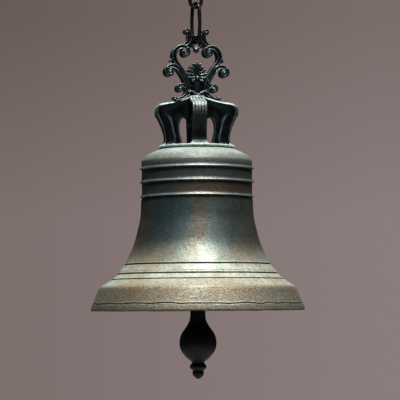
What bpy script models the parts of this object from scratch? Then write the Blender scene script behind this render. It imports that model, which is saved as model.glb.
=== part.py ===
"""Bronze bell hung on a chain: shell, four-arm crown, scroll finial, clapper, links, ceiling fitting.

Every size below is in millimetres and every height is above the bell's lip. The model's own frame
has its origin in the middle of the ceiling plate's top face, with +Z up the bell's axis.
"""
import math

import bmesh
import bpy
from mathutils import Matrix, Vector

MM = 0.001                # metres in a millimetre
GAP = 0.3                 # clearance between pieces that touch
THREAD_GAP = 0.4          # clearance round a screwed shank

# Bell shell
LIP_R = 150.0             # outside radius at the lip
WAIST_R = 78.8            # outside radius of the narrow waist
SEAT_Z = 226.7            # flat on the head that carries the crown
HEAD_THICK = 12.7         # bronze under that flat
WAIST_WALL = 7.0
LIP_WIDTH = 7.0           # flat under the sound bow
RIB_DROPS = (26.7, 45.7, 66.2)      # ribs, measured down from the seat
RIB_OUT = 2.6             # how far a rib stands out of the wall
FLARE_DROP = 6.5          # lowest rib to the start of the flare
GROOVE_HEIGHTS = (44.0, 51.6, 64.7)
GROOVE_DEPTH = 0.9

# Crown
CROWN_PLATE_R = 53.0
CROWN_PLATE_THICK = 3.2
GASKET_THICK = 1.2
ARM_COUNT = 4
SIDE_ARM_WIDTH = 22.0
FRONT_ARM_WIDTH = 21.0
ARM_REACH = 59.0          # radius of an arm's outer bulge
ARM_FOOT_INSET = 2.0      # from the plate's rim to an arm's foot
CROWN_HEIGHT = 72.0       # plate underside to the arms' meeting point
CREST_DROP = 8.2          # arms' tops below the meeting point, clear of the finial's foot scrolls
COLUMN_R = 11.5           # central stem of the crown
BOSS_R = 13.0             # round pad that the finial stands on
BOSS_RISE = 2.0

# Centre shank and the clapper's fork
SHANK_R = 6.0
SHANK_GRIP = 19.0         # length screwed into the finial
SHANK_WASHER_R = 18.0
SHANK_WASHER_THICK = 3.2
SHANK_NUT_FLATS = 19.0
SHANK_NUT_THICK = 10.0
FORK_CHEEK = 5.0          # thickness of a fork cheek
FORK_WIDTH = 24.0         # width of a cheek
FORK_BRIDGE = 9.0
PIN_DROP = 17.0           # fork bridge's underside to the pin's axis
PIN_R = 5.0
PIN_HEAD_R = 8.5
PIN_HEAD_THICK = 4.0
PIN_NUT_FLATS = 16.0
PIN_NUT_THICK = 6.5
RUNNING_GAP = 0.1         # pin in its bush

# Clapper
CLAPPER_EYE_R = 14.0
CLAPPER_EYE_THICK = 15.0
BUSH_WALL = 2.0
SIDE_WASHER_THICK = 1.5
BALL_BELOW_LIP = 45.3
BALL_R = 26.0
CLAPPER_TAIL = 50.7       # ball centre to the tip of the tail
STEM_TOP_R = 8.0
STEM_LOW_R = 10.4

# Crown bolts
BOLT_INSET = 15.0         # from the plate's rim to a bolt's axis
BOLT_R = 4.0
BOLT_GRIP = 12.0          # length screwed into an arm's foot
BOLT_HEAD_FLATS = 13.0
BOLT_HEAD_THICK = 5.3
BOLT_WASHER_R = 8.0
BOLT_WASHER_THICK = 1.6

# Scroll finial
FINIAL_TURN = 10.0        # degrees that the finial is screwed past the crown's arms
SCROLL_THICK = 16.0
NECK_THICK = 9.0
FOOT_R = 10.3
EYE_RISE = 74.5           # foot to the middle of the suspension eye
EYE_TUBE_R = 2.5
EYE_PLAY = 1.3            # between the eye's hole and the wire in it
DROP_R = 3.8              # knob under the eye

# Chain links
WIRE_R = 2.5
LINK_LENGTH = 61.0        # over the outside
LINK_WIDTH = 24.0
LINK_END_R = 8.0          # bend of the wire's centre line at an end
HANG_GAP = 0.5            # between wires that hang on each other
HANGER_TURN = -59.0       # degrees from the crown's side arms
UPPER_TURN = 10.0

# Ceiling fitting
RING_R = 11.0             # centre line of the ceiling eye
RING_WIRE_R = 3.0
RING_TURN = -80.0
RING_SHANK_R = 4.0
RING_SHANK_LENGTH = 17.0
PLATE_R = 45.0
PLATE_THICK = 5.0
PLATE_BOSS_R = 10.0
PLATE_BOSS_DROP = 9.0
LOCK_NUT_FLATS = 13.0
LOCK_NUT_THICK = 4.0
SCREW_COUNT = 4
SCREW_INSET = 12.0        # from the plate's rim to a screw's axis
SCREW_HOLE_R = 2.6

DRILL_PAST = 5.0          # how far a cutter runs past a face

# Sizes and heights that follow from the sizes above
FLARE_TOP_Z = SEAT_Z - max(RIB_DROPS) - FLARE_DROP
ARM_FOOT_R = CROWN_PLATE_R - ARM_FOOT_INSET
BOLT_CIRCLE_R = CROWN_PLATE_R - BOLT_INSET
EYE_HOLE_R = WIRE_R + EYE_PLAY
SCREW_CIRCLE_R = PLATE_R - SCREW_INSET
HEAD_UNDER_Z = SEAT_Z - HEAD_THICK
GASKET_Z = SEAT_Z + GAP
PLATE_Z = GASKET_Z + GASKET_THICK + GAP
PLATE_TOP_Z = PLATE_Z + CROWN_PLATE_THICK
CROWN_TOP_Z = PLATE_Z + CROWN_HEIGHT
BOSS_TOP_Z = CROWN_TOP_Z + BOSS_RISE
FOOT_Z = BOSS_TOP_Z + GAP
SHANK_TOP_Z = FOOT_Z + SHANK_GRIP
WASHER_Z = HEAD_UNDER_Z - GAP - SHANK_WASHER_THICK
NUT_Z = WASHER_Z - GAP - SHANK_NUT_THICK
FORK_TOP_Z = NUT_Z - GAP
FORK_BRIDGE_Z = FORK_TOP_Z - FORK_BRIDGE
PIN_Z = FORK_BRIDGE_Z - PIN_DROP
EYE_Z = FOOT_Z + EYE_RISE
EYE_WIRE_Z = EYE_Z + EYE_HOLE_R - HANG_GAP - WIRE_R
LINK_HALF = LINK_LENGTH / 2 - WIRE_R
HANGER_Z = EYE_WIRE_Z + LINK_HALF
UPPER_WIRE_Z = HANGER_Z + LINK_HALF - 2 * WIRE_R - HANG_GAP
UPPER_Z = UPPER_WIRE_Z + LINK_HALF
RING_WIRE_Z = UPPER_Z + LINK_HALF - WIRE_R - RING_WIRE_R - HANG_GAP
RING_Z = RING_WIRE_Z + RING_R
RING_TOP_Z = RING_Z + RING_R + RING_WIRE_R
BOSS_UNDER_Z = RING_TOP_Z + LOCK_NUT_THICK + 2 * GAP
MOUNT_Z = BOSS_UNDER_Z + PLATE_BOSS_DROP + PLATE_THICK
FORK_SLOT = CLAPPER_EYE_THICK + 2 * (SIDE_WASHER_THICK + 2 * GAP)
FORK_OUTER = FORK_SLOT + 2 * FORK_CHEEK

ROUND_LARGE = 44          # sides of the shell and other large turned pieces
ROUND_SMALL = 16          # sides of pins, nuts' bores and washers


def clear_scene():
    for obj in list(bpy.data.objects):
        bpy.data.objects.remove(obj, do_unlink=True)


def material(name, color, metallic, roughness):
    mat = bpy.data.materials.get(name)
    if mat is None:
        mat = bpy.data.materials.new(name)
        mat.use_nodes = True
        shader = mat.node_tree.nodes["Principled BSDF"]
        shader.inputs["Base Color"].default_value = (*color, 1.0)
        shader.inputs["Metallic"].default_value = metallic
        shader.inputs["Roughness"].default_value = roughness
    return mat


def bronze():
    return material("green_bronze", (0.24, 0.24, 0.17), 0.8, 0.5)


def dark_bronze():
    return material("dark_bronze", (0.05, 0.06, 0.055), 0.8, 0.45)


def black_iron():
    return material("black_iron", (0.03, 0.03, 0.03), 0.7, 0.5)


def chain_steel():
    return material("chain_steel", (0.06, 0.06, 0.065), 0.9, 0.35)


def zinc_steel():
    return material("zinc_steel", (0.45, 0.45, 0.44), 0.9, 0.35)


def bush_brass():
    return material("bush_brass", (0.6, 0.45, 0.18), 0.9, 0.35)


def pad_leather():
    return material("pad_leather", (0.06, 0.045, 0.035), 0.0, 0.8)


def empty(name, parent=None, height=0.0, turn=0.0):
    obj = bpy.data.objects.new(name, None)
    bpy.context.collection.objects.link(obj)
    place(obj, parent, height, turn)
    return obj


def place(obj, parent, height=0.0, turn=0.0):
    """Puts an object on its parent's axis, so many millimetres above it."""
    obj.parent = parent
    obj.location = (0.0, 0.0, height * MM)
    obj.rotation_euler = (0.0, 0.0, math.radians(turn))


def finish_mesh(bm, name, mat):
    """Turns a mesh drawn in millimetres into an object in metres."""
    bmesh.ops.scale(bm, vec=(MM, MM, MM), verts=bm.verts)
    bmesh.ops.recalc_face_normals(bm, faces=bm.faces)
    mesh = bpy.data.meshes.new(name)
    bm.to_mesh(mesh)
    bm.free()
    mesh.shade_smooth()
    mesh.set_sharp_from_angle(angle=math.radians(35))
    mesh.materials.append(mat)
    obj = bpy.data.objects.new(name, mesh)
    bpy.context.collection.objects.link(obj)
    return obj


def smooth_path(points, steps):
    """A Catmull-Rom curve through points of any dimension, ends included."""
    path = []
    for i in range(len(points) - 1):
        a = points[max(i - 1, 0)]
        b = points[i]
        c = points[i + 1]
        d = points[min(i + 2, len(points) - 1)]
        for k in range(steps):
            t = k / steps
            weights = (-t + 2 * t * t - t ** 3, 2 - 5 * t * t + 3 * t ** 3,
                       t + 4 * t * t - 3 * t ** 3, t ** 3 - t * t)
            path.append(tuple(sum(w * p[j] for w, p in zip(weights, (a, b, c, d))) / 2
                              for j in range(len(b))))
    path.append(tuple(points[-1]))
    return path


def arc(centre, radius, start, stop, steps):
    """Points of an arc, its angles in degrees."""
    angles = (math.radians(start + (stop - start) * k / steps) for k in range(steps + 1))
    return [(centre[0] + radius * math.cos(a), centre[1] + radius * math.sin(a)) for a in angles]


def turned(bm, profile, sides, closed):
    """Turns (radius, height) points about Z; an open profile starts and ends on the axis."""
    rings = []
    for radius, height in profile:
        if radius < 1e-6:
            rings.append([bm.verts.new((0.0, 0.0, height))])
            continue
        angles = (math.tau * k / sides for k in range(sides))
        rings.append([bm.verts.new((radius * math.cos(a), radius * math.sin(a), height))
                      for a in angles])
    pairs = list(zip(rings, rings[1:]))
    if closed:
        pairs.append((rings[-1], rings[0]))
    for low, high in pairs:
        for k in range(sides):
            n = (k + 1) % sides
            corners = (low[k % len(low)], low[n % len(low)], high[n % len(high)], high[k % len(high)])
            bm.faces.new(list(dict.fromkeys(corners)))


def turned_object(name, mat, profile, sides=ROUND_SMALL, closed=False):
    bm = bmesh.new()
    turned(bm, profile, sides, closed)
    return finish_mesh(bm, name, mat)


def ring_profile(inner, outer, low, high):
    return [(inner, low), (outer, low), (outer, high), (inner, high)]


def rod_profile(radius, low, high):
    return [(0.0, low), (radius, low), (radius, high), (0.0, high)]


def prism(bm, outline, thick, axis="Y"):
    """Extrudes a closed outline of (across, up) points to both sides of its own plane."""
    front = [bm.verts.new((x, -thick / 2, z)) for x, z in outline]
    back = [bm.verts.new((x, thick / 2, z)) for x, z in outline]
    count = len(outline)
    bm.faces.new(front)
    bm.faces.new(back[::-1])
    for k in range(count):
        n = (k + 1) % count
        bm.faces.new((front[k], back[k], back[n], front[n]))
    if axis == "X":
        bmesh.ops.rotate(bm, verts=front + back, cent=(0, 0, 0),
                         matrix=Matrix.Rotation(math.radians(90), 3, "Z"))


def prism_object(name, mat, outline, thick):
    bm = bmesh.new()
    prism(bm, outline, thick)
    return finish_mesh(bm, name, mat)


def hex_outline(flats):
    corner = flats / math.sqrt(3.0)
    return [(corner * math.cos(math.radians(60 * k)), corner * math.sin(math.radians(60 * k)))
            for k in range(6)]


def hex_nut(name, mat, flats, bore_r, low, thick):
    """A hexagon nut about Z with a round bore."""
    outline = hex_outline(flats)
    bm = bmesh.new()
    sides = 6 * (ROUND_SMALL // 6)
    per = sides // 6
    rings = {}
    for key, height in (("low", low), ("high", low + thick)):
        outer = []
        inner = []
        for k in range(sides):
            a = outline[k // per]
            b = outline[(k // per + 1) % 6]
            t = (k % per) / per
            outer.append(bm.verts.new((a[0] + (b[0] - a[0]) * t, a[1] + (b[1] - a[1]) * t, height)))
            angle = math.tau * k / sides
            inner.append(bm.verts.new((bore_r * math.cos(angle), bore_r * math.sin(angle), height)))
        rings[key] = (outer, inner)
    loops = (rings["low"][1], rings["low"][0], rings["high"][0], rings["high"][1])
    for k in range(sides):
        n = (k + 1) % sides
        for i in range(4):
            a = loops[i]
            b = loops[(i + 1) % 4]
            bm.faces.new((a[k], a[n], b[n], b[k]))
    return finish_mesh(bm, name, mat)


def join_solid(target, tools, operation="UNION"):
    """Joins or cuts solids one at a time and removes the tools."""
    for tool in tools:
        modifier = target.modifiers.new(tool.name, "BOOLEAN")
        modifier.operation = operation
        modifier.solver = "EXACT"
        modifier.object = tool
        tool.hide_render = True
        tool.display_type = "WIRE"
    bpy.context.view_layer.update()
    evaluated = target.evaluated_get(bpy.context.evaluated_depsgraph_get())
    mesh = bpy.data.meshes.new_from_object(evaluated)
    target.modifiers.clear()
    target.data = mesh
    for tool in tools:
        bpy.data.objects.remove(tool, do_unlink=True)
    mesh.shade_smooth()
    mesh.set_sharp_from_angle(angle=math.radians(35))


def bolt_places():
    """Bolt positions: one under each arm's foot."""
    for k in range(ARM_COUNT):
        angle = math.tau * k / ARM_COUNT
        yield k + 1, (BOLT_CIRCLE_R * math.cos(angle), BOLT_CIRCLE_R * math.sin(angle))


def drill(radius, low, high, centre=(0.0, 0.0)):
    """A cutter for a round hole."""
    cutter = turned_object("drill", zinc_steel(), rod_profile(radius, low, high))
    half_side = Matrix.Rotation(math.pi / ROUND_SMALL, 4, "Z")
    cutter.data.transform(Matrix.Translation((centre[0] * MM, centre[1] * MM, 0.0)) @ half_side)
    return cutter


# ---------------------------------------------------------------- bell shell

def rib(height, wall_r):
    """A raised line: steep underneath, sloping back above."""
    return [(wall_r, height + 3.0), (wall_r + RIB_OUT, height + 0.7), (wall_r + RIB_OUT, height - 0.6),
            (wall_r, height - 2.2)]


def flare_radius(height):
    """Outside radius of the flare at a height, from shares of the flare's height and width."""
    knots = ((1.0, 0.0), (0.916, 0.006), (0.831, 0.022), (0.727, 0.073), (0.620, 0.136), (0.526, 0.221),
             (0.422, 0.334), (0.370, 0.424), (0.325, 0.490), (0.286, 0.593), (0.243, 0.740),
             (0.222, 0.810), (0.195, 0.851), (0.143, 0.888), (0.081, 0.944), (0.023, 0.989), (0.008, 1.0))
    for (z0, f0), (z1, f1) in zip(knots, knots[1:]):
        z0 *= FLARE_TOP_Z
        z1 *= FLARE_TOP_Z
        if z0 >= height >= z1:
            return WAIST_R + (LIP_R - WAIST_R) * (f0 + (f1 - f0) * (z0 - height) / (z0 - z1))
    return WAIST_R if height > FLARE_TOP_Z else LIP_R


def shell_outside():
    """Outer profile from the edge of the seat down to the lip."""
    wall_r = WAIST_R - 1.1
    shoulder = wall_r - CROWN_PLATE_R
    points = [(CROWN_PLATE_R - 1.5, SEAT_Z), (CROWN_PLATE_R + 3.0, SEAT_Z - 1.2)]
    points += [(CROWN_PLATE_R + shoulder * 0.45, SEAT_Z - 4.7),
               (CROWN_PLATE_R + shoulder * 0.77, SEAT_Z - 8.7),
               (wall_r, SEAT_Z - 15.2), (wall_r + 0.6, SEAT_Z - 18.7)]
    for drop in RIB_DROPS:
        points += rib(SEAT_Z - drop, wall_r)
    shares = (1.0, 0.916, 0.831, 0.727, 0.620, 0.526, 0.471, 0.243, 0.222, 0.195, 0.143, 0.081, 0.023, 0.008)
    lines = [z for height in GROOVE_HEIGHTS for z in (height - 1.4, height, height + 1.4)]
    levels = [share * FLARE_TOP_Z for share in shares]
    levels = [z for z in levels if min(abs(z - line) for line in lines) > 2.0]
    for z in sorted(levels + lines, reverse=True):
        cut = GROOVE_DEPTH if z in GROOVE_HEIGHTS else 0.0
        points.append((flare_radius(z) - cut, z))
    return points


def shell_inside():
    """Inner profile from the lip up to the head's bore, thickest at the sound bow."""
    wall_r = WAIST_R - WAIST_WALL
    points = [(LIP_R - 1.2, 0.0), (LIP_R - LIP_WIDTH, 0.0), (LIP_R - LIP_WIDTH - 1.5, 1.6)]
    knots = ((0.117, 0.775), (0.221, 0.635), (0.338, 0.440), (0.416, 0.335), (0.513, 0.228),
             (0.643, 0.115), (0.773, 0.043), (0.916, 0.003))
    points += [(wall_r + (LIP_R - WAIST_R) * across, FLARE_TOP_Z * up) for up, across in knots]
    points.append((wall_r - 1.0, HEAD_UNDER_Z - 12.0))
    points += arc((wall_r - 13.0, HEAD_UNDER_Z - 12.0), 12.0, 22.5, 90, 3)
    points += [(SHANK_R + THREAD_GAP, HEAD_UNDER_Z), (SHANK_R + THREAD_GAP, SEAT_Z)]
    return points


def make_shell(parent):
    shell = turned_object("bell_shell", bronze(), shell_outside() + shell_inside(), ROUND_LARGE, True)
    holes = [drill(BOLT_R + THREAD_GAP, HEAD_UNDER_Z - DRILL_PAST, SEAT_Z + DRILL_PAST, spot)
             for _, spot in bolt_places()]
    join_solid(shell, holes, "DIFFERENCE")
    place(shell, parent)


def make_gasket(parent):
    profile = ring_profile(SHANK_R + THREAD_GAP, CROWN_PLATE_R - 2.0, GASKET_Z, GASKET_Z + GASKET_THICK)
    gasket = turned_object("crown_gasket", pad_leather(), profile, ROUND_LARGE, True)
    holes = [drill(BOLT_R + THREAD_GAP, GASKET_Z - DRILL_PAST, GASKET_Z + DRILL_PAST, spot)
             for _, spot in bolt_places()]
    join_solid(gasket, holes, "DIFFERENCE")
    place(gasket, parent)


# ---------------------------------------------------------------- crown

def arm_outline():
    """Side view of one arm: foot, waist, outer bulge, sloping top, and the arch inside it."""
    foot = PLATE_Z + 1.0
    top = CROWN_TOP_Z
    rise = CROWN_HEIGHT
    outer = smooth_path([(ARM_FOOT_R, foot), (ARM_REACH - 11.5, foot + rise * 0.11),
                         (ARM_REACH - 9.8, foot + rise * 0.26), (ARM_REACH - 3.0, foot + rise * 0.53),
                         (ARM_REACH, foot + rise * 0.71), (ARM_REACH - 3.5, foot + rise * 0.83)], 3)
    crest = [(ARM_REACH - 12.0, top - CREST_DROP - 2.1), (ARM_REACH - 24.0, top - CREST_DROP),
             (COLUMN_R + 1.0, top - 1.7)]
    arch = [(COLUMN_R - 4.0, top - 1.2), (COLUMN_R - 4.0, top - rise * 0.5),
            (COLUMN_R + 0.8, top - rise * 0.458)]
    inner = smooth_path([(COLUMN_R + 2.6, top - rise * 0.433), (COLUMN_R + 7.0, top - rise * 0.411),
                         (COLUMN_R + 12.0, top - rise * 0.442), (COLUMN_R + 16.5, top - rise * 0.528),
                         (COLUMN_R + 17.5, top - rise * 0.667), (COLUMN_R + 15.5, top - rise * 0.833),
                         (COLUMN_R + 12.0, foot)], 2)
    return outer + crest + arch + inner


def make_arm(index):
    bm = bmesh.new()
    prism(bm, arm_outline(), FRONT_ARM_WIDTH if index % 2 else SIDE_ARM_WIDTH)
    arm = finish_mesh(bm, "arm", dark_bronze())
    arm.data.transform(Matrix.Rotation(math.tau * index / ARM_COUNT, 4, "Z"))
    return arm


def make_crown(parent):
    plate = [(0.0, PLATE_Z), (CROWN_PLATE_R, PLATE_Z), (CROWN_PLATE_R, PLATE_Z + 1.4),
             (CROWN_PLATE_R - 3.5, PLATE_TOP_Z), (COLUMN_R, PLATE_TOP_Z), (COLUMN_R, CROWN_TOP_Z - 5.0),
             (BOSS_R, CROWN_TOP_Z - 4.0), (BOSS_R, BOSS_TOP_Z - 1.0), (BOSS_R - 1.0, BOSS_TOP_Z),
             (0.0, BOSS_TOP_Z)]
    crown = turned_object("crown", dark_bronze(), plate, ROUND_LARGE // 2)
    join_solid(crown, [make_arm(k) for k in range(ARM_COUNT)])
    cuts = [drill(SHANK_R + THREAD_GAP, PLATE_Z - DRILL_PAST, BOSS_TOP_Z + DRILL_PAST)]
    cuts += [drill(BOLT_R + THREAD_GAP, PLATE_Z - DRILL_PAST, PLATE_Z + BOLT_GRIP + 2.0, spot)
             for _, spot in bolt_places()]
    join_solid(crown, cuts, "DIFFERENCE")
    place(crown, parent)


def make_bolts(parent):
    """Hexagon bolts from inside the shell, up through the head into the arms' feet."""
    head_top = HEAD_UNDER_Z - 2 * GAP - BOLT_WASHER_THICK
    washer = ring_profile(BOLT_R + THREAD_GAP, BOLT_WASHER_R, head_top + GAP, HEAD_UNDER_Z - GAP)
    shank = rod_profile(BOLT_R, head_top - 1.0, PLATE_Z + BOLT_GRIP)
    for number, (x, y) in bolt_places():
        bolt = turned_object(f"crown_bolt_{number}", zinc_steel(), shank)
        head = prism_object("head", zinc_steel(), hex_outline(BOLT_HEAD_FLATS), BOLT_HEAD_THICK)
        head.data.transform(Matrix.Translation((0, 0, (head_top - BOLT_HEAD_THICK / 2) * MM))
                            @ Matrix.Rotation(math.radians(90), 4, "X"))
        join_solid(bolt, [head])
        disc = turned_object(f"crown_bolt_washer_{number}", zinc_steel(), washer, ROUND_SMALL, True)
        for obj in (bolt, disc):
            obj.parent = parent
            obj.location = (x * MM, y * MM, 0.0)


# ---------------------------------------------------------------- finial

def stroke_outline(points, steps=2):
    """Outline of a bar that follows (across, up, half width) points."""
    path = smooth_path(points, steps)
    left = []
    right = []
    for i, (x, z, half) in enumerate(path):
        before = path[max(i - 1, 0)]
        after = path[min(i + 1, len(path) - 1)]
        along = Vector((after[0] - before[0], after[1] - before[1])).normalized()
        left.append((x - along.y * half, z + along.x * half))
        right.append((x + along.y * half, z - along.x * half))
    return left + right[::-1]


def finial_strokes():
    """Bars of one half of the finial as (points, thickness), heights above the finial's foot."""
    main = [(13.5, 66.0, 2.6), (20.0, 68.7, 3.2), (27.0, 66.8, 3.5), (32.0, 60.5, 3.6),
            (33.0, 53.0, 3.5), (30.0, 46.0, 3.3), (25.0, 39.5, 3.2), (19.5, 31.5, 3.1),
            (15.0, 22.0, 2.9), (12.8, 12.0, 2.7), (14.0, 4.2, 2.6), (18.5, -1.2, 2.4),
            (25.0, -4.6, 2.2), (31.5, -5.9, 2.0)]
    side = [(13.3, 9.0, 2.6), (15.8, 18.0, 3.2), (20.0, 27.0, 3.4), (25.5, 35.5, 3.4),
            (31.5, 40.3, 3.2), (38.0, 41.0, 3.0), (43.2, 38.0, 2.8)]
    low = [(16.5, 0.5, 2.4), (15.0, 5.0, 2.6), (16.2, 10.5, 2.5), (19.8, 14.2, 2.4), (24.5, 14.6, 2.4)]
    ear = [(10.5, 90.0, 3.9), (9.9, 84.5, 4.2), (10.9, 78.5, 4.2), (14.5, 73.8, 3.6), (20.0, 70.6, 3.2)]
    return [(main, SCROLL_THICK), (side, SCROLL_THICK), (low, SCROLL_THICK - 1.0), (ear, NECK_THICK)]


def finial_discs():
    """Volute ends of one half as (across, up, radius, thickness), heights above the foot."""
    return [(17.4, 60.8, 7.3, SCROLL_THICK + 0.6), (39.3, 32.8, 7.8, SCROLL_THICK + 0.6),
            (24.6, 9.4, 6.2, SCROLL_THICK - 0.4), (34.0, -5.2, 2.9, SCROLL_THICK - 0.4),
            (14.1, 89.7, 5.2, NECK_THICK + 0.6), (36.9, 47.6, 2.8, SCROLL_THICK - 2.4)]


def palmette_outline():
    """Rounded leaf shape, heights above the foot."""
    half = smooth_path([(0.0, 17.0), (6.0, 18.3), (11.6, 23.5), (13.2, 29.5), (10.2, 37.5),
                        (5.6, 43.6), (0.0, 47.4)], 2)
    return half + [(-x, z) for x, z in half[-2:0:-1]]


def finial_bar(outline, thick):
    return prism_object("bar", dark_bronze(), [(x, z + FOOT_Z) for x, z in outline], thick)


def make_eye():
    """Suspension eye: a round ring standing in the finial's plane."""
    ring_r = EYE_HOLE_R + EYE_TUBE_R
    section = arc((ring_r, 0.0), EYE_TUBE_R, 0, 330, 11)
    eye = turned_object("eye", dark_bronze(), section, 24, True)
    eye.data.transform(Matrix.Translation((0, 0, EYE_Z * MM)) @ Matrix.Rotation(math.radians(90), 4, "X"))
    return eye


def make_finial(parent):
    foot = [(0.0, FOOT_Z), (FOOT_R - 0.8, FOOT_Z), (FOOT_R, FOOT_Z + 0.8), (FOOT_R, FOOT_Z + 22.0),
            (FOOT_R - 3.0, FOOT_Z + 28.0), (0.0, FOOT_Z + 30.0)]
    finial = turned_object("scroll_finial", dark_bronze(), foot, 24)
    bars = []
    for side in (1, -1):
        for points, thick in finial_strokes():
            outline = [(x * side, z) for x, z in stroke_outline(points)]
            bars.append(finial_bar(outline, thick))
        for x, z, radius, thick in finial_discs():
            outline = [(side * px, pz) for px, pz in arc((x, z), radius, 0, 330, 11)]
            bars.append(finial_bar(outline, thick))
    bars.append(finial_bar(palmette_outline(), SCROLL_THICK + 2.0))
    drop = arc((0.0, EYE_RISE - EYE_HOLE_R - 2 * EYE_TUBE_R - DROP_R + 3.1), DROP_R, 10, 340, 11)
    bars.append(finial_bar(drop, NECK_THICK - 2.0))
    bars.append(make_eye())
    join_solid(finial, bars)
    join_solid(finial, [drill(SHANK_R + THREAD_GAP, FOOT_Z - DRILL_PAST, SHANK_TOP_Z + 1.0)], "DIFFERENCE")
    place(finial, parent, 0.0, FINIAL_TURN)


# ---------------------------------------------------------------- fork and clapper

def make_fork(parent):
    """Forged fork: a shank up through head and crown, and two cheeks for the clapper's pin."""
    fork = turned_object("clapper_fork", black_iron(), rod_profile(SHANK_R, FORK_TOP_Z - 3.0, SHANK_TOP_Z))
    low = PIN_Z - FORK_WIDTH / 2
    outer = FORK_OUTER / 2
    slot = FORK_SLOT / 2
    outline = [(-outer, low), (-slot, low), (-slot, FORK_BRIDGE_Z), (slot, FORK_BRIDGE_Z), (slot, low),
               (outer, low), (outer, FORK_TOP_Z - 3.0), (outer - 6.0, FORK_TOP_Z), (6.0 - outer, FORK_TOP_Z),
               (-outer, FORK_TOP_Z - 3.0)]
    bm = bmesh.new()
    prism(bm, outline, FORK_WIDTH, "X")
    cheeks = finish_mesh(bm, "cheeks", black_iron())
    join_solid(fork, [cheeks])
    hole = drill(PIN_R + THREAD_GAP, -FORK_OUTER, FORK_OUTER)
    hole.data.transform(Matrix.Translation((0, 0, PIN_Z * MM)) @ Matrix.Rotation(math.radians(90), 4, "X"))
    join_solid(fork, [hole], "DIFFERENCE")
    place(fork, parent)


def make_shank_fastening(parent):
    washer = turned_object("shank_washer", zinc_steel(),
                           ring_profile(SHANK_R + THREAD_GAP, SHANK_WASHER_R, WASHER_Z,
                                        WASHER_Z + SHANK_WASHER_THICK), 28, True)
    nut = hex_nut("shank_nut", zinc_steel(), SHANK_NUT_FLATS, SHANK_R + THREAD_GAP, NUT_Z, SHANK_NUT_THICK)
    place(washer, parent)
    place(nut, parent)


def along_y(obj, height):
    """Lays a piece that was turned about Z along the pin's axis."""
    obj.data.transform(Matrix.Translation((0, 0, height * MM)) @ Matrix.Rotation(math.radians(90), 4, "X"))


def make_pin(parent):
    """Pin through the cheeks: head at the front, nut at the back."""
    face = FORK_OUTER / 2 + GAP
    end = face + PIN_NUT_THICK + 2.5
    profile = [(0.0, -end), (PIN_R, -end), (PIN_R, face), (PIN_HEAD_R, face),
               (PIN_HEAD_R, face + PIN_HEAD_THICK - 1.0), (PIN_HEAD_R - 1.0, face + PIN_HEAD_THICK),
               (0.0, face + PIN_HEAD_THICK)]
    pin = turned_object("clapper_pin", zinc_steel(), profile)
    along_y(pin, PIN_Z)
    place(pin, parent)
    nut = hex_nut("clapper_pin_nut", zinc_steel(), PIN_NUT_FLATS, PIN_R + THREAD_GAP,
                  -face - PIN_NUT_THICK, PIN_NUT_THICK)
    along_y(nut, PIN_Z)
    place(nut, parent)


def make_side_washers(parent):
    inner = CLAPPER_EYE_THICK / 2 + GAP
    for name, sign in (("side_washer_front", 1), ("side_washer_back", -1)):
        low = min(sign * inner, sign * (inner + SIDE_WASHER_THICK))
        profile = ring_profile(PIN_R + THREAD_GAP, CLAPPER_EYE_R - 3.0, low, low + SIDE_WASHER_THICK)
        washer = turned_object(name, bush_brass(), profile, ROUND_SMALL, True)
        along_y(washer, PIN_Z)
        place(washer, parent)


def clapper_profile():
    """Stem, ball and tail from top to bottom, heights from the pin's axis."""
    ball = -(PIN_Z + BALL_BELOW_LIP)
    points = [(0.0, -CLAPPER_EYE_R + 1.5), (STEM_TOP_R, -CLAPPER_EYE_R + 1.5)]
    points += [(STEM_TOP_R, -40.0), (STEM_LOW_R, ball + 52.0), (STEM_LOW_R + 0.3, ball + 40.0)]
    points += [(STEM_LOW_R + 1.6, ball + BALL_R + 5.0), (STEM_LOW_R + 4.4, ball + BALL_R - 0.5)]
    points += [(BALL_R * across, ball + BALL_R * up)
               for across, up in ((0.77, 0.69), (0.93, 0.40), (1.0, 0.06), (0.95, -0.31), (0.74, -0.65))]
    tail = CLAPPER_TAIL - BALL_R
    points += [(across, ball - BALL_R - tail * down)
               for across, down in ((8.6, 0.03), (9.2, 0.11), (11.3, 0.21), (11.3, 0.36), (7.4, 0.53),
                                    (8.2, 0.63), (7.6, 0.75), (4.0, 0.91), (0.0, 1.0))]
    return points


def make_clapper(pivot):
    """Cast iron clapper: its origin is on the pin's axis."""
    clapper = turned_object("clapper", black_iron(), clapper_profile(), 20)
    eye = turned_object("clapper_eye", black_iron(),
                        rod_profile(CLAPPER_EYE_R, -CLAPPER_EYE_THICK / 2, CLAPPER_EYE_THICK / 2), 20)
    along_y(eye, 0.0)
    join_solid(clapper, [eye])
    bore_r = PIN_R + RUNNING_GAP + BUSH_WALL + GAP
    bore = drill(bore_r, -CLAPPER_EYE_THICK, CLAPPER_EYE_THICK)
    along_y(bore, 0.0)
    join_solid(clapper, [bore], "DIFFERENCE")
    place(clapper, pivot)
    bush = turned_object("clapper_bush", bush_brass(),
                         ring_profile(PIN_R + RUNNING_GAP, PIN_R + RUNNING_GAP + BUSH_WALL,
                                      -CLAPPER_EYE_THICK / 2, CLAPPER_EYE_THICK / 2), ROUND_SMALL, True)
    along_y(bush, 0.0)
    place(bush, pivot)


# ---------------------------------------------------------------- chain and ceiling fitting

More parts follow.
